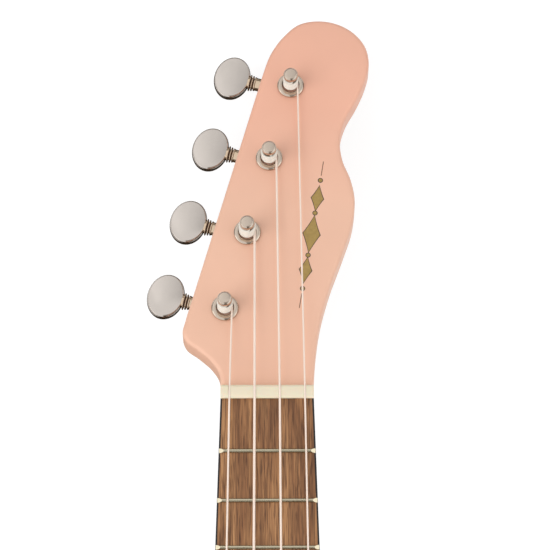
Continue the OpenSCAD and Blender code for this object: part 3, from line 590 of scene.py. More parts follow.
def smooth_curve(corners, steps=12):
    """Smooth open curve through points, with slopes from the neighbours weighed by chord length."""
    p = np.asarray(corners, float)
    d = np.diff(p, axis=0)
    c = np.linalg.norm(d, axis=1, keepdims=True)
    inner = (d[:-1] * c[1:] / c[:-1] + d[1:] * c[:-1] / c[1:]) / (c[:-1] + c[1:])
    slope = join(d[:1] / c[:1], inner, d[-1:] / c[-1:])
    t = np.linspace(0, 1, steps, endpoint=False)[None, :, None]
    run = (2 * t**3 - 3 * t**2 + 1) * p[:-1, None]
    run = run + (t**3 - 2 * t**2 + t) * (slope[:-1] * c)[:, None]
    run = run + (3 * t**2 - 2 * t**3) * p[1:, None] + (t**3 - t**2) * (slope[1:] * c)[:, None]
    return join(run.reshape(-1, 2), p[-1:])


def even_walk(line, count, closed=False):
    """A line walked at an even pace in so many points, each found by its length along the line."""
    path = join(line, line[:1]) if closed else line
    s = join([0], np.cumsum(np.linalg.norm(np.diff(path, axis=0), axis=1)))
    at = np.linspace(0, s[-1], count, endpoint=not closed)
    return points(*[np.interp(at, s, column) for column in path.T])


def inward_of(loop):
    """Inward directions of an anticlockwise closed line: each chord past a point, turned left."""
    chord = unit(np.roll(loop, -1, axis=0) - np.roll(loop, 1, axis=0))
    return points(-chord[:, 1], chord[:, 0])


def quarter_round(radius, steps):
    """Rows of inset r (1 - sin a) and fall r (1 - cos a), from a face to the side below it."""
    a = np.linspace(0, np.pi / 2, steps)
    return radius * (1 - points(np.sin(a), np.cos(a)))


print("helpers for lines ready")

# %% [markdown]
# ## Places on the ukulele
# The pieces use the sizes of the CAD model. The headstock leans back from the nut and has its own
# frame: x across, s along its face from the nut, h off its face. Each tuner has a frame at the
# foot of its post: X points away from the button, and Z is the post.

# %% Sizes and frames
SCALE_LENGTH = 345.4
TOP_Z = 66.0
BOARD_T = 4.5
BOARD_Z = TOP_Z + BOARD_T
NUT_T = 5.1
HEAD_Y = SCALE_LENGTH + NUT_T
JOINT_Y = SCALE_LENGTH / 2
NUT_WIDTH = 34.6
JOINT_WIDTH = 46.8
HEAD_TILT = math.radians(15)
EDGE_LEAN = math.radians(15.8)
EDGE_POINT = (-29.9, 29.5)
ROW_LEAN = math.radians(15.1)
HEAD_T = 11.5
HEAD_LEN = 152.6
FIRST_POST = 31.1
POST_PITCH = 32.05
POST_INSET = 13.1


def board_width(y):
    """Width of the fingerboard, which grows evenly from the nut to the body."""
    return NUT_WIDTH + (JOINT_WIDTH - NUT_WIDTH) * (SCALE_LENGTH - y) / (SCALE_LENGTH - JOINT_Y)


def from_head(p):
    """Points of the headstock's frame, leaned back about the nut and moved to the neck's end."""
    x, s, h = np.moveaxis(np.asarray(p, float), -1, 0)
    y = HEAD_Y + s * math.cos(HEAD_TILT) + h * math.sin(HEAD_TILT)
    z = TOP_Z - s * math.sin(HEAD_TILT) + h * math.cos(HEAD_TILT)
    return points(x, y, z)


def edge_x(s):
    """The straight tuner edge of the headstock, which leans away from a point on it."""
    return EDGE_POINT[0] + (s - EDGE_POINT[1]) * math.tan(EDGE_LEAN)


post_s = FIRST_POST + np.arange(4) * POST_PITCH * math.cos(ROW_LEAN)
post_x = edge_x(FIRST_POST) + POST_INSET / math.cos(EDGE_LEAN)
post_x = post_x + np.arange(4) * POST_PITCH * math.sin(ROW_LEAN)


def from_tuner(i, p):
    """Points of a tuner's frame: turned by the row's lean, moved to the post, then as the head."""
    x, y, z = np.moveaxis(np.asarray(p, float), -1, 0)
    c, s = math.cos(ROW_LEAN), math.sin(ROW_LEAN)
    return from_head(points(post_x[i] + x * c + y * s, post_s[i] - x * s + y * c, z))


print("posts at x", post_x.round(1), "s", post_s.round(1))

# %% [markdown]
# ## Headstock
# The headstock is a flat board cut to a flowing outline, with rounded painted edges. The outline
# is a smooth curve through points, plus the straight tuner edge. A Bevel modifier would bunch up
# in the tight curves, so rings of the outline move inwards step by step. The board starts a little
# under the nut, so that no groove shows.

# %% Headstock
EDGE_ROUND = 1.7
UNDER_NUT = 3.0
HEAD_POINTS = 520
half_nut = NUT_WIDTH / 2
CROWN = [
    *((half_nut, 0), (half_nut + 0.6, 0.068), (19.75, 0.161), (23.5, 0.257), (28.75, 0.355)),
    *((32.6, 0.437), (33.5, 0.502), (32.1, 0.553), (29, 0.608), (28.1, 0.661), (30.3, 0.721)),
    *((34.4, 0.772), (37.9, 0.825), (39.7, 0.875), (38.5, 0.924), (34.5, 0.962), (28, 0.99)),
    *((20.3, 1), (12.5, 0.99), (6.7, 0.957), (2.2, 0.915)),
]
EDGE_SHARES = np.array([0.84, 0.794])
HORN = [(-31.7, 21.2), (-30.6, 18.4), (-25.6, 14.3), (-20.5, 9.5), (-half_nut - 0.7, 5.4)]
HORN_EDGE = np.array([34.7, 26.9])


def on_edge(s):
    """Points of the straight tuner edge at places along the headstock."""
    return points(edge_x(s), s)


def round_plate(loop, low, high, radius, steps=7):
    """Rings of a plate over a closed line, with its lower and upper edges rounded."""
    inset, fall = quarter_round(radius, steps).T
    inset, z = join(inset, inset[::-1]), join(low + fall, high - fall[::-1])
    flat = loop[None] + inset[:, None, None] * inward_of(loop)[None]
    return at_height(flat, z[:, None])


crown_points = np.array(CROWN) * np.array([1, HEAD_LEN])
crown = smooth_curve(join(crown_points, on_edge(EDGE_SHARES * HEAD_LEN)))
horn = smooth_curve(join(on_edge(HORN_EDGE), HORN, [(-half_nut, 0)]))
root = np.array([(-half_nut, -UNDER_NUT), (half_nut, -UNDER_NUT)])
head_outline = even_walk(join(crown, horn, root), HEAD_POINTS, closed=True)
head_rings = from_head(round_plate(head_outline, -HEAD_T, 0, EDGE_ROUND))
headstock = painted("headstock_painted", head_rings, "headstock")
print("headstock faces", len(headstock.data.polygons))

# %% [markdown]
# ## Neck
# The neck has a rounded back that deepens into the heel and squares off towards the headstock.
# Joining separate solids would leave creases, so it is one loft: each section is half a
# superellipse, and its power, depth and lean change along the neck.

# %% Neck
BACK_T = 2.4
HEEL_FOOT = 12
HEEL_CURVE = 34
SHOULDER_DEPTH = 15.5
NECK_DEPTH = 13
NECK_BLEND = 34
ROUND_POWER = 2.2
SQUARE_POWER = 9
SECTION_POINTS = 73
HEEL_SECTIONS, SHAFT_SECTIONS, END_SECTIONS = 25, 20, 20
shaft_end = HEAD_Y - NECK_BLEND
heel_turn = np.linspace(0, np.pi / 2, HEEL_SECTIONS)
heel_y = JOINT_Y + HEEL_FOOT + HEEL_CURVE * (1 - np.cos(heel_turn))
shaft_y = np.linspace(heel_y[-1], shaft_end, SHAFT_SECTIONS + 1)[1:]
end_t = np.linspace(0, 1, END_SECTIONS + 1)[1:]
neck_y = join([JOINT_Y], heel_y, shaft_y, shaft_end + NECK_BLEND * end_t)
t = join(np.zeros(1 + len(heel_y) + len(shaft_y)), end_t)


def shaft_depth(y):
    """Depth of the plain neck under the board."""
    return blend(SHOULDER_DEPTH, NECK_DEPTH, (y - JOINT_Y) / (HEAD_Y - JOINT_Y))


heel = np.clip(1 - (neck_y - JOINT_Y - HEEL_FOOT) / HEEL_CURVE, 0, 1)
depth = blend(shaft_depth(neck_y), TOP_Z - BACK_T, 1 - np.sqrt(1 - heel**2))
depth = np.where(t > 0, blend(shaft_depth(shaft_end), HEAD_T, t), depth)[:, None]
power = blend(ROUND_POWER, SQUARE_POWER, t**2)[:, None]
lean = (HEAD_TILT * t)[:, None]
half_w = board_width(np.minimum(neck_y, SCALE_LENGTH))[:, None] / 2
a = np.linspace(0, np.pi, SECTION_POINTS)[None]
cosine, sine = np.cos(a), np.clip(np.sin(a), 0, 1)
section_x = half_w * np.sign(cosine) * np.abs(cosine) ** (2 / power)
section_h = -depth * sine ** (2 / power)
section_y = neck_y[:, None] + section_h * np.sin(lean)
neck_rings = points(section_x, section_y, TOP_Z + section_h * np.cos(lean))
painted("neck_painted", neck_rings, "neck")
print("neck sections", len(neck_y))

# %% [markdown]
# ## Fingerboard, binding, dots and frets
# Board, binding and dots are plain flat pieces, so the CAD solids stay and get their finish. The
# frets are new: an arc carried across the board, shorter with height, which gives the filed bevel
# at the ends.

# %% Fingerboard and frets
dress(walnut_along, "fingerboard")
dress(black_binding, "binding_left", "binding_right")
dress(pearl, "fret_markers")
FRET_COUNT = 16
FRET_W = 1.7
FRET_H = 0.8
FRET_BEVEL = 1.7
FRET_END_GAP = 0.15
FRET_SINK = 0.2
FRET_SHARP = 15
crown_r = (FRET_W**2 / 4 + FRET_H**2) / (2 * FRET_H)
arc = np.linspace(-1, 1, 25) * math.asin(FRET_W / 2 / crown_r)
fret_arc = points(crown_r * np.sin(arc), crown_r * np.cos(arc) - crown_r + FRET_H)
fret_feet = np.array([(-FRET_W / 2, -FRET_SINK), (FRET_W / 2, -FRET_SINK)])
fret_profile = join(fret_feet[:1], fret_arc, fret_feet[1:])


def fret_rings(number):
    """Two rings of the crown's profile, at the two ends of a fret."""
    y = SCALE_LENGTH * 2 ** (-number / 12)
    across, up = fret_profile.T
    half = board_width(y) / 2 - FRET_END_GAP - FRET_BEVEL * np.clip(up, 0, None) / FRET_H
    return np.stack([points(side * half, y + across, BOARD_Z + up) for side in (-1, 1)])


all_frets = [fret_rings(n) for n in range(1, FRET_COUNT + 1)]
frets = make_piece("frets_crowned", all_frets, fret_metal, "frets", sharp=FRET_SHARP)
print("frets", FRET_COUNT, "faces", len(frets.data.polygons))

# %% [markdown]
# ## Nut
# The nut is a bar with a level front, a falling top and four shallow slots. Cutting the slots out
# would leave ragged faces, so the bar is a profile carried across the neck in many rings. In a
# slot, a ring's height is cut down to the slot's floor, which falls with the string.

# %% Nut
STRING_D = np.array([0.7, 0.94, 0.82, 0.66])
NUT_SPAN = 28
NUT_ACTION = 1.4
NUT_LAND = 1.2
NUT_H = BOARD_T + NUT_ACTION + 0.35
NUT_POINTS = 90
NUT_RINGS = 61
NUT_EASE = 0.3
SLOT_ROOM = 0.06
SLOT_SINK = 0.05
SLOT_FALL = 0.4
SLOT_WALL = np.array([-1.001, -0.999, 0.999, 1.001])
END_ROUND = np.array([0, 0.1, 0.3, 0.6])
nut_x = (np.arange(4) - 1.5) * NUT_SPAN / 3
nut_corners = [(0, 0), (0, NUT_H), (NUT_LAND, NUT_H), (NUT_T - 0.7, NUT_H - 0.9)]
nut_line = rounded([*nut_corners, (NUT_T, NUT_H - 1.6), (NUT_T, 0)], 0.45)
nut_y, nut_z = even_walk(nut_line, NUT_POINTS).T
slot_half = (STRING_D + SLOT_ROOM) / 2
slot_edges = (nut_x[:, None] + slot_half[:, None] * SLOT_WALL).ravel()
plain_x = np.linspace(-half_nut, half_nut, NUT_RINGS)
end_x = half_nut - END_ROUND
ring_x = np.unique(join(plain_x, slot_edges, -end_x, end_x))
in_slot = (np.abs(ring_x[:, None] - nut_x) < slot_half).any(1)
past_land = np.clip(nut_y - NUT_LAND, 0, None)
slot_floor = BOARD_T + NUT_ACTION - SLOT_SINK - SLOT_FALL * past_land
nut_top = np.where(in_slot[:, None], np.minimum(nut_z, slot_floor), nut_z)
near_end = np.clip(1 - (half_nut - np.abs(ring_x)) / END_ROUND[-1], 0, 1)
drop = NUT_EASE * (1 - np.sqrt(1 - near_end**2))
nut_top = nut_top - drop[:, None] * (nut_z / NUT_H) ** 4
nut_rings = points(ring_x[:, None], SCALE_LENGTH + nut_y, TOP_Z + nut_top)
make_piece("nut_slotted", [nut_rings], cream_bone, "nut")
print("nut rings", len(ring_x))

# %% [markdown]
# ## Tuner posts and bushings
# Both are turned parts, so each is a profile turned about the post's axis, as on a lathe. Little
# light reaches the gap between bushing and post, so its walls are painted dark: painted shade. The
# post has a waist for the string and a flat rounded cap. In the CAD model it also has the hole for
# the string's end.

# %% Posts and bushings
WAIST_R = 2.2
CAP_R = 2.85
CAP_ROUND = 1.1
POST_RISE = 10.8
POST_IN = 0.3
FLANGE_T = 1.3
BORE_R = 3.06
GAP_R = 3.4
stem = [(POST_IN, -15.3), (2.2, -15.3), (2.2, -12.9), (3, -12.9), (3, -2.6), (WAIST_R, -2.4)]
neck_in = [(WAIST_R, POST_RISE - 2.25), (CAP_R, POST_RISE - 1.8), (CAP_R, POST_RISE - CAP_ROUND)]
inset, fall = quarter_round(CAP_ROUND, 10).T
cap = points(CAP_R - fall, POST_RISE - inset)[1:]
post_line = join(rounded([*stem, *neck_in], 0.25), cap, [(POST_IN, POST_RISE)])
barrel = [(BORE_R, -6), (BORE_R, -8), (4, -8), (4, 0), (5.2, 0), (5.2, 0.85), (4.6, FLANGE_T)]
bore = [(3.3, FLANGE_T), (3.3, -2.2), (BORE_R, -2.2), (BORE_R, -4)]
bushing_line = rounded([*barrel, *bore], 0.2)
# Bushing faces in the gap get the painted shade.
in_shaded_gap = (bushing_line[:, 0] < GAP_R) & (bushing_line[:, 1] < FLANGE_T)
for i, note in enumerate(NOTES):
    post, bush = "post_" + note, "bushing_" + note
    post_rings, bush_rings = [from_tuner(i, revolve(line)) for line in (post_line, bushing_line)]
    turner = post + "_turner"
    make_piece("post_turned_" + note, [post_rings], warm_nickel, post, turner)
    name = "bushing_turned_" + note
    bushing = make_piece(name, [bush_rings], warm_nickel, bush, loop=True)
    second_finish(bushing, gap_painted_shade, np.repeat(in_shaded_gap, TURNED_AROUND))
print("posts and bushings", len(NOTES), "each")

# %% [markdown]
# ## Strings
# A string runs from a knot behind the bridge over saddle and nut to its post, winds up it in close
# turns and ends in the post's hole. A curve with a round bevel would twist in the tight turns, so
# a round section is carried along one array of points, upright by the post's axis. The stretched
# run's pink is painted, the pink paint seen through the clear nylon. The turns get a whiter nylon.

# %% The line of a string
SADDLE_SPAN = 40
SADDLE_RISE = 10
SADDLE_LAND = 0.6
TIE_H = 5
KNOT_Y = np.array([-16.6, -16.3, -15.5, -14.7, -14.3, -13, -8.3])
KNOT_R = np.array([0.5, 1, 1.25, 1, 0, 0, 0])
CAD_TURNS = np.array([3.75, 2.75, 3.25, 3.75])
MORE_TURNS = np.array([4, 3, 3, 4])
CAD_TURN_GAP = 0.5
CAD_LAST_CLIMB = 2.2
TURN_STEPS = 40
TURN_PITCH = 1.01
LAST_CLIMB = 0.75
TURN_ROOM = 0.1
FOOT_ROOM = 0.25
BEND_ROOM = 0.15
BEND_STEPS = 8
TAIL_LEN = 1.0
saddle_x = (np.arange(4) - 1.5) * SADDLE_SPAN / 3


def string_run(i):
    """The stretched part, from the knot through the bridge and over the saddle and the nut."""
    r = STRING_D[i] / 2
    x = saddle_x[i]
    back = points(x, KNOT_Y, TOP_Z + TIE_H)
    crest = TOP_Z + SADDLE_RISE + r
    saddle = [(x, -SADDLE_LAND, crest), (x, SADDLE_LAND, crest)]
    nut_z = BOARD_Z + NUT_ACTION + r
    rest = [(nut_x[i], SCALE_LENGTH + y, nut_z) for y in (0, NUT_LAND)]
    return join(back, saddle, rest)


def string_turns(i, nut_point):
    """The wound part. The angle at which the line from the nut touches the turns is the nut's own
    angle plus acos(radius / distance). From there a helix climbs in close turns and then faster to
    the hole, and a small bend leads the tail through the post's middle."""
    d = STRING_D[i]
    r = d / 2
    wound = WAIST_R + TURN_ROOM + r
    dy, dz = nut_point[1] - HEAD_Y, nut_point[2] - TOP_Z
    nut_s = dy * math.cos(HEAD_TILT) - dz * math.sin(HEAD_TILT)
    to_nut = np.array([nut_x[i] - post_x[i], nut_s - post_s[i]])
    leave = math.atan2(to_nut[1], to_nut[0]) + math.acos(wound / np.linalg.norm(to_nut))
    low = FLANGE_T + r + FOOT_ROOM
    high = low + (d + CAD_TURN_GAP) * (CAD_TURNS[i] + CAD_LAST_CLIMB - 1)
    turns = CAD_TURNS[i] + MORE_TURNS[i]
    t = np.linspace(0, turns, int(turns * TURN_STEPS) + 1)
    last = np.clip(t - turns + LAST_CLIMB, 0, None) / LAST_CLIMB
    close = low + np.minimum(t, turns - LAST_CLIMB) * min(d * TURN_PITCH, (high - low) / turns)
    h = close + (high - close[-1]) * last**2 * (3 - 2 * last)
    angle = leave + 2 * np.pi * t
    coil = points(wound * np.cos(angle), wound * np.sin(angle), h)
    bend = r + BEND_ROOM
    turn = np.linspace(0, math.acos(-bend / (wound - bend)), BEND_STEPS)[1:]
    inner = points(wound - bend + bend * np.cos(turn), bend * np.sin(turn))
    into = angle[-1] + np.arctan2(inner[:, 1], inner[:, 0])
    into = np.append(into, into[-1] + np.pi)
    reach = np.append(np.linalg.norm(inner, axis=1), WAIST_R + TAIL_LEN)
    tail = points(reach * np.cos(into), reach * np.sin(into), high)
    return from_head(join(coil, tail) + np.array([post_x[i], post_s[i], 0]))


print("strings over the saddle at x", saddle_x.round(1))

# %% Strings
STRING_SIDES = 14
head_up = np.array([0, math.sin(HEAD_TILT), math.cos(HEAD_TILT)])


def tube_rings(line, radii):
    """Rings round a line: each point goes r cos a sideways and r sin a upwards from the line."""
    ahead = unit(np.diff(line, axis=0))
    heading = unit(join(ahead[:1], ahead[:-1] + ahead[1:], ahead[-1:]))
    side = unit(np.cross(head_up, heading))
    up = np.cross(heading, side)
    a = circle(STRING_SIDES)[None, :, None]
    ring = np.cos(a) * side[:, None] + np.sin(a) * up[:, None]
    return line[:, None] + radii[:, None, None] * ring


for i, note in enumerate(NOTES):
    run = string_run(i)
    line = join(run, string_turns(i, run[-1]))
    radii = np.full(len(line), STRING_D[i] / 2)
    radii[: len(KNOT_R)] = np.maximum(KNOT_R, radii[0])
    name, tube = "string_wound_" + note, tube_rings(line, radii)
    string = make_piece(name, [tube], nylon_run_painted_pink, "string_" + note)
    on_post = np.arange(len(string.data.polygons)) >= len(run) * STRING_SIDES
    second_finish(string, wound_nylon, on_post)
    print("string", note, "points", len(line))

# %% [markdown]
# ## Buttons
# A button is an oval with flat polished faces and a rounded rim. A scaled sphere would have no
# flat face, so its rings are ovals that grow from the middle of one face to the rim and shrink
# again. The middle of the rim is painted a darker nickel, a painted reflection of dark
# surroundings, which gives the button its dark outline.

# %% Buttons
GEAR_TEETH = 13
WORM_LEAD = 1.5
WORM_PITCH_R = 1.8
CENTRE_GAP = GEAR_TEETH * WORM_LEAD / (2 * math.pi) + WORM_PITCH_R
WORM_Z = -16.6
BUTTON_REACH = 25.1
BUTTON_LEN = 18.2
BUTTON_W = 14.2
BUTTON_T = 3.5
BUTTON_AROUND = 96
FACE_SHARE = 0.89
FACE_DOME = 0.3
FACE_RINGS = 9
RIM_RINGS = 33
PAINTED_RIM_SHADE_BAND = 0.9
rim_turn = np.linspace(-np.pi / 2, np.pi / 2, RIM_RINGS)


def on_shaft(i, p):
    """Points of a frame on the worm's axis, in the tuner's frame."""
    return from_tuner(i, p + np.array([0, CENTRE_GAP, WORM_Z]))


def button_rings():
    """Ovals by size share and height: a domed face, a half round rim and the other face."""
    rim_size = FACE_SHARE + (1 - FACE_SHARE) * np.clip(np.cos(rim_turn), 0, 1)
    rim_z = BUTTON_T / 2 * np.sin(rim_turn)
    inner = np.linspace(0.04, 0.97, FACE_RINGS)
    face_z = BUTTON_T / 2 + FACE_DOME * (1 - inner**2)
    size = join(inner * FACE_SHARE, rim_size, inner[::-1] * FACE_SHARE)
    z = join(-face_z, rim_z, face_z[::-1])
    a = circle(BUTTON_AROUND)
    x = np.outer(size, BUTTON_W / 2 * np.cos(a)) - BUTTON_REACH
    y = np.outer(size, BUTTON_LEN / 2 * np.sin(a))
    return points(x, y, z[:, None])


# The rim rings near the middle carry the painted dark reflection.
painted_rim_shade_rings = np.abs(rim_turn[:-1] + rim_turn[1:]) / 2 < PAINTED_RIM_SHADE_BAND
in_painted_rim_shade = np.repeat(join(np.zeros(FACE_RINGS, bool), painted_rim_shade_rings), BUTTON_AROUND)
print("button rings", 2 * FACE_RINGS + RIM_RINGS)

# %% [markdown]
# ## Collars
# A turned collar with three beads joins the button to its shaft. It is a profile again, turned
# about the shaft. The floors of its two grooves are painted dark brown: painted shade.

# %% Collars
COLLAR_X = -BUTTON_REACH + BUTTON_W / 2
GROOVE_R = 2.5
GROOVES = (0.3, 2.1)
COLLAR = [
    *((0.3, -0.7), (2.5, -0.7), (2.5, 0), (3.3, 0.05), (3.3, 0.33), (2.1, 0.43), (2.1, 0.9)),
    *((3.05, 1.0), (3.05, 1.34), (2.1, 1.45), (2.1, 1.85)),
    *((2.8, 1.95), (2.8, 2.4), (2.55, 2.5), (1.5, 2.5)),
]
collar_line = rounded(COLLAR, 0.12)
# Faces on the groove floors get the painted shade.
in_shaded_groove = (collar_line[:-1, 0] < GROOVE_R) & (collar_line[1:, 0] < GROOVE_R)
in_shaded_groove &= (collar_line[:-1, 1] > GROOVES[0]) & (collar_line[1:, 1] < GROOVES[1])
collar_line = collar_line + np.array([0, COLLAR_X])


def turned_on_x(profile):
    """A profile of (radius, place along X) turned about the X axis."""
    rings = revolve(profile)
    return points(rings[..., 2], rings[..., 0], rings[..., 1])


print("collar profile points", len(collar_line))

# %% [markdown]
# ## Worm shafts
# The worm shaft is a turned bar with a shoulder behind the collar and a screw ridge that drives
# the gear. A ridge swept along a helix would need joining on. In one surface there is no seam: the
# radius also depends on the angle, and the ridge is where the place along the axis keeps step with
# it.

# %% Worm shafts and the rest of the tuners
SHAFT_R = 2.0
SHAFT_IN = 0.4
SHAFT_CORE = 0.3
SHOULDER_R = 2.55
SHOULDER_X = (COLLAR_X + 2.56, -5.55)
WORM_ROOT_R = 1.15
WORM_TIP_R = 2.2
WORM_HALF = 4.1
WORM_RINGS = 170
WORM_AROUND = 56
RIDGE_ROOT = 0.5
RIDGE_TIP = 0.12
RIDGE_RUN = 3.2
RIDGE_FADE = 0.4
JOURNAL_R = 1.1
JOURNAL_END = 5.85
JOURNAL_EASE = 0.2


def worm_rings():
    """Radius over place and angle: u is how far along the axis a point is from the ridge's middle,
    and the ridge falls from its tip to the root as u grows."""
    along = np.linspace(-WORM_HALF, WORM_HALF, WORM_RINGS)
    a = circle(WORM_AROUND)
    turn = along[:, None] / WORM_LEAD - a[None] / (2 * np.pi)
    u = ((turn + 0.5) % 1 - 0.5) * WORM_LEAD
    ridge = np.clip((RIDGE_ROOT - np.abs(u)) / (RIDGE_ROOT - RIDGE_TIP), 0, 1)
    ridge = ridge * np.clip((RIDGE_RUN - np.abs(along[:, None] - u)) / RIDGE_FADE, 0, 1)
    worm_r = WORM_ROOT_R + (WORM_TIP_R - WORM_ROOT_R) * ridge
    start = COLLAR_X - SHAFT_IN
    first, second = SHOULDER_X
    before_r = [SHAFT_CORE, SHAFT_R, SHAFT_R, SHOULDER_R, SHOULDER_R, SHAFT_R, SHAFT_R]
    before_x = [start, start, first, first, second, second, -WORM_HALF]
    after_r = [JOURNAL_R, JOURNAL_R, JOURNAL_R - JOURNAL_EASE, SHAFT_CORE]
    after_x = [WORM_HALF, JOURNAL_END - JOURNAL_EASE, JOURNAL_END, JOURNAL_END]
    one = np.ones(WORM_AROUND)
    r = join(np.outer(before_r, one), worm_r, np.outer(after_r, one))
    x = join(before_x, along, after_x)[:, None]
    return points(x, -r * np.cos(a), -r * np.sin(a))


for i, note in enumerate(NOTES):
    turner = "button_" + note + "_turner"
    oval, beads, worm = [
        [on_shaft(i, rings)] for rings in (button_rings(), turned_on_x(collar_line), worm_rings())
    ]
    button = make_piece("button_oval_" + note, oval, nickel, "button_" + note, turner)
    second_finish(button, rim_painted_dark_nickel, in_painted_rim_shade)
    collar = make_piece("collar_turned_" + note, beads, shaft_nickel_pink_reflection, body=turner)
    second_finish(collar, groove_painted_shade, np.repeat(in_shaded_groove, TURNED_AROUND))
    shaft = "worm_shaft_" + note
    make_piece("worm_turned_" + note, worm, shaft_nickel_pink_reflection, shaft, turner)
dress(gear_brass, *["gear_" + note for note in NOTES])
dress(nickel, *["base_plate_" + note for note in NOTES])
dress(screw_steel, "tuner_screws", *["gear_screw_" + note for note in NOTES])
print("buttons, collars and worms", len(NOTES), "each")

# %% [markdown]
# ## Body outline
# Soundboard and back share one outline, with two bent sides between them. Points set by eye would
# leave bumps, so it is worked out in four runs: an elliptic tail, a swing into the waist, a swing
# out to the upper bout and an elliptic shoulder.

# %% Body outline
BODY_LEN = 241
TAIL_Y = JOINT_Y - BODY_LEN
HALF_LOWER = 82.5
HALF_WAIST = 49.0
HALF_UPPER = 59.0
HALF_JOINT = JOINT_WIDTH / 2 + 2
LOWER_AT, WAIST_AT, UPPER_AT = 0.285, 0.635, 0.805
RUN_STEPS = 40
BODY_POINTS = 420
lower_y = TAIL_Y + LOWER_AT * BODY_LEN
waist_y = TAIL_Y + WAIST_AT * BODY_LEN
upper_y = TAIL_Y + UPPER_AT * BODY_LEN
shoulder_end = math.acos(HALF_JOINT / HALF_UPPER)
shoulder_h = (JOINT_Y - upper_y) / math.sin(shoulder_end)


def swing(low, high, t):
    """From one value to another along half a cosine wave."""
    return blend(low, high, (1 - np.cos(np.pi * t)) / 2)


def half_outline(count):
    """Right half of the body's outline, from the tail to the neck joint."""
    a = np.linspace(0, np.pi / 2, count, endpoint=False)
    tail = points(HALF_LOWER * np.sin(a), lower_y - (lower_y - TAIL_Y) * np.cos(a))
    t = np.linspace(0, 1, count, endpoint=False)
    lower = points(swing(HALF_LOWER, HALF_WAIST, t), blend(lower_y, waist_y, t))
    upper = points(swing(HALF_WAIST, HALF_UPPER, t), blend(waist_y, upper_y, t))
    a = np.linspace(0, shoulder_end, count)
    shoulder = points(HALF_UPPER * np.cos(a), upper_y + shoulder_h * np.sin(a))
    return join(tail, lower, upper, shoulder)


half = half_outline(RUN_STEPS)
mirrored = half[:0:-1] * np.array([-1, 1])
body_outline = even_walk(join(half, mirrored), BODY_POINTS, closed=True)
into = inward_of(body_outline)
print("body outline", body_outline.min(0).round(1), body_outline.max(0).round(1))

# %% [markdown]
# ## Soundboard, back and sides
# The soundboard's rings go from the hole's edge over the rosette's channel and blend from circles
# into the outline, so no boolean cut is needed. The back is a plate with one rounded edge. The
# sides are a strip carried along half the outline, and at the neck they fold across to meet behind
# the heel.

# %% Soundboard and back
TOP_T = 2.4
HOLE_Y = 86.0
HOLE_R = 26.0
HOLE_EASE = 0.4
HOLE_MID = 0.12
CHANNEL_IN = 28.96
CHANNEL_OUT = 33.04
CHANNEL_DEPTH = 0.82
BODY_ROUND = 1.6
hole_centre = np.array([0, HOLE_Y])
ray = unit(body_outline - hole_centre)
under_z = TOP_Z - TOP_T
hole_steps = [
    *((HOLE_R, under_z), (HOLE_R, TOP_Z - HOLE_EASE)),
    *((HOLE_R + HOLE_MID, TOP_Z - HOLE_MID), (HOLE_R + HOLE_EASE, TOP_Z)),
    *((CHANNEL_IN, TOP_Z), (CHANNEL_IN, TOP_Z - CHANNEL_DEPTH)),
    *((CHANNEL_OUT, TOP_Z - CHANNEL_DEPTH), (CHANNEL_OUT, TOP_Z)),
]
edge_steps = quarter_round(BODY_ROUND, 8)
inner_rings = [at_height(hole_centre + ray * r, z) for r, z in hole_steps]
edge_rings = [at_height(body_outline + into * d, TOP_Z - fall) for d, fall in edge_steps]
between = [blend(inner_rings[-1], edge_rings[0], share) for share in (0.25, 0.5, 0.75)]
foot = at_height(body_outline, under_z)
soundboard_rings = np.stack([*inner_rings, *between, *edge_rings, foot])
painted("soundboard_painted", soundboard_rings, "soundboard", loop=True)
back_steps = [*edge_steps, (0, BACK_T)]
back_rings = np.stack([at_height(body_outline + into * d, z) for d, z in back_steps])
painted("back_painted", back_rings, "back_plate")
print("soundboard rings", len(soundboard_rings), "back rings", len(back_rings))

# %% Sides
SIDE_T = 2.2
chord = unit(np.gradient(half, axis=0))
side_in = points(-chord[:, 1], chord[:, 0])
side_in[0] = (0, 1)
towards_tail = np.array([0.0, -1.0])
side_in[-1] = (side_in[-1] + towards_tail) / (1 + side_in[-1] @ towards_tail)
side_in = join(side_in, [towards_tail])
side_line = join(half, [(0.0, JOINT_Y)])
wall = [(0, BACK_T), (0, under_z), (SIDE_T, under_z), (SIDE_T, BACK_T)]
side_rings = np.stack([at_height(side_line + side_in * d, z) for d, z in wall], 1)
for name, flip in (("right", 1), ("left", -1)):
    painted("side_painted_" + name, side_rings * np.array([flip, 1, 1]), "side_" + name)
print("side rings", len(side_rings))

# %% [markdown]
# ## Bridge, saddle and the inside
# The bridge is a walnut block with a ramp, a saddle slot and a tie block: a profile with eased
# corners carried across the top, which shrinks at both ends to round them over. The saddle and the
# inner pieces are plain blocks and strips, so they keep their CAD solids.

# %% Bridge and the inside
BRIDGE_W = 74
BRIDGE_ROUND = 1.2
BRIDGE_SHRINK = 0.09
BRIDGE_MIDDLE = np.array([-4.0, 0])
ramp_side = [(-4, 0), (6, 0), (6, 3.5), (4, 7), (-3, 7), (-4, 3.5)]
tie_side = [(-8.5, 3.5), (-9, 7), (-13, 7), (-14, 6), (-14, 0), (-6, 0)]
bridge_line = rounded([*ramp_side, *tie_side], 0.5)
end = np.linspace(0, np.pi / 2, 7)
bridge_x = join(BRIDGE_ROUND * (1 - np.sin(end)), [5, 12, 20, BRIDGE_W / 2])
bridge_x = np.sort(BRIDGE_W / 2 - bridge_x)
bridge_x = join(-bridge_x[::-1], bridge_x[1:])
nearness = np.clip(1 - (BRIDGE_W / 2 - np.abs(bridge_x)) / BRIDGE_ROUND, 0, 1)
shrink = 1 - BRIDGE_SHRINK * (1 - np.sqrt(1 - nearness**2))
outline = BRIDGE_MIDDLE + (bridge_line - BRIDGE_MIDDLE)[None] * shrink[:, None, None]
bridge_rings = points(bridge_x[:, None], outline[..., 0], outline[..., 1] + TOP_Z)
make_piece("bridge_shaped", [bridge_rings], walnut_across, "bridge")
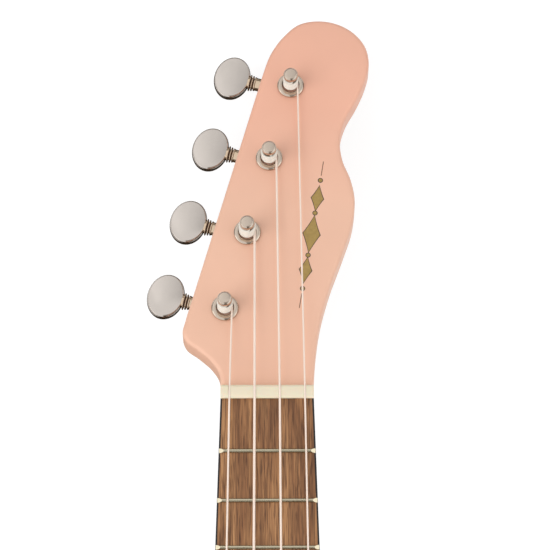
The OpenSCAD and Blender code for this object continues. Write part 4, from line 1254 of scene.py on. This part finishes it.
dress(cream_bone, "saddle")
dress(bare_spruce, "neck_block", "tail_block", "top_linings", "back_linings", "top_braces")
dress(bare_spruce, "fan_braces", "bridge_patch", "back_braces", "neck_dowels")
print("bridge rings", len(bridge_rings))

# %% [markdown]
# ## Rosette
# The rosette is an inlaid ring of black and ivory bands. They could be separate rings, but they
# are flush, so one finish on the CAD ring does it: the distance to the middle of the hole picks
# the band.

# %% Rosette
BLACK, IVORY = (0.015, 0.014, 0.014), (0.7, 0.62, 0.47)
ROSETTE_IN, ROSETTE_OUT = 0.029, 0.033
banded, tree, shader = finish_tree("rosette_bands", 0.35)
moved = {"Vector": object_place(tree), "Location": (0, -HOLE_Y * MM, 0), "Scale": (1, 1, 0)}
centred = add_node(tree, "ShaderNodeMapping", moved)["Vector"]
distance = add_node(tree, "ShaderNodeVectorMath", {0: centred}, "LENGTH")["Value"]
share = spread(tree, distance, 0, 1, ROSETTE_IN, ROSETTE_OUT)
stops = [(0.0, BLACK), (0.14, IVORY), (0.26, BLACK), (0.74, IVORY), (0.86, BLACK)]
bands = ramp(tree, share, stops)
bands.node.color_ramp.interpolation = "CONSTANT"
fine = stretched_noise(tree, 500)
shade = ramp(tree, fine, [(0.3, (0.85, 0.85, 0.85)), (0.7, (1, 1, 1))])
feed(shader, {"Base Color": mixed(tree, "MULTIPLY", 1.0, bands, shade)})
dress(banded, "rosette")
print("finish", banded.name)

# %% [markdown]
# ## Inlay on the headstock
# The treble half of the headstock carries a plain inlay: gilt lozenges with a dark line round
# them, dots between, and thin brown lines at both ends. A painted pattern would blur in close
# views, so each shape is a thin plate, a few hundredths of a millimetre off the face.

# %% Inlay
INLAY_FOOT = np.array([16.9, 61.4])
INLAY_LEAN = math.radians(-9)
INLAY_SINK = 0.1
LOZENGES = [(0, 7.6, 3.2), (-15, 5.2, 2.3), (15, 5.2, 2.3)]
LOZENGE_POWER = 0.92
DOTS = [-22.6, -8.8, 8.8, 22.6]
DOT_R, DOT_OUTLINE_R = 0.72, 1.0
LINES = [-27.6, 27.6]
LINE_HALF_W, LINE_HALF = 0.16, 3
OUTLINE_W, OUTLINE_STRETCH = 0.32, 1.6
OUTLINE_TOP, GILT_TOP = 0.03, 0.06


def place_on_face(middle, flat):
    """A flat shape on the inlay's own axis, turned by its lean and moved to the face."""
    c, s = math.cos(INLAY_LEAN), math.sin(INLAY_LEAN)
    p = flat + np.array([0, middle])
    return INLAY_FOOT + points(p[:, 0] * c - p[:, 1] * s, p[:, 0] * s + p[:, 1] * c)


def lozenge(middle, half_long, half_wide, grow):
    """A lozenge with slightly hollow sides: |x|^p + |y|^p = 1 with a power just under one."""
    a = circle(48)
    c, s = np.cos(a), np.sin(a)
    size = (np.abs(c) ** LOZENGE_POWER + np.abs(s) ** LOZENGE_POWER) ** (-1 / LOZENGE_POWER)
    wide, long = half_wide + grow, half_long + OUTLINE_STRETCH * grow
    return place_on_face(middle, points(wide * size * c, long * size * s))


def disc(middle, radius):
    """A round dot."""
    a = circle(32)
    return place_on_face(middle, radius * points(np.cos(a), np.sin(a)))


def bar(middle):
    """A thin straight line with square ends."""
    sides = np.array([(1, -1), (1, 1), (-1, 1), (-1, -1)])
    return place_on_face(middle, sides * np.array([LINE_HALF_W, LINE_HALF]))


def thin_plates(lines, top):
    """Plates from just under the face up to a small height, as two rings each."""
    ends = (-INLAY_SINK, top)
    return [from_head(np.stack([at_height(line, z) for z in ends])) for line in lines]


outlines, gilded = [
    [lozenge(*row, grow) for row in LOZENGES] + [disc(at, radius) for at in DOTS]
    for grow, radius in ((OUTLINE_W, DOT_OUTLINE_R), (0, DOT_R))
]
strokes = [bar(at) for at in LINES]
make_piece("inlay_outline", thin_plates(outlines, OUTLINE_TOP), dark_line)
make_piece("inlay_gilt", thin_plates(gilded, GILT_TOP), gold_leaf)
make_piece("inlay_lines", thin_plates(strokes, OUTLINE_TOP), brown_line)
print("inlay shapes", len(gilded) + len(strokes))
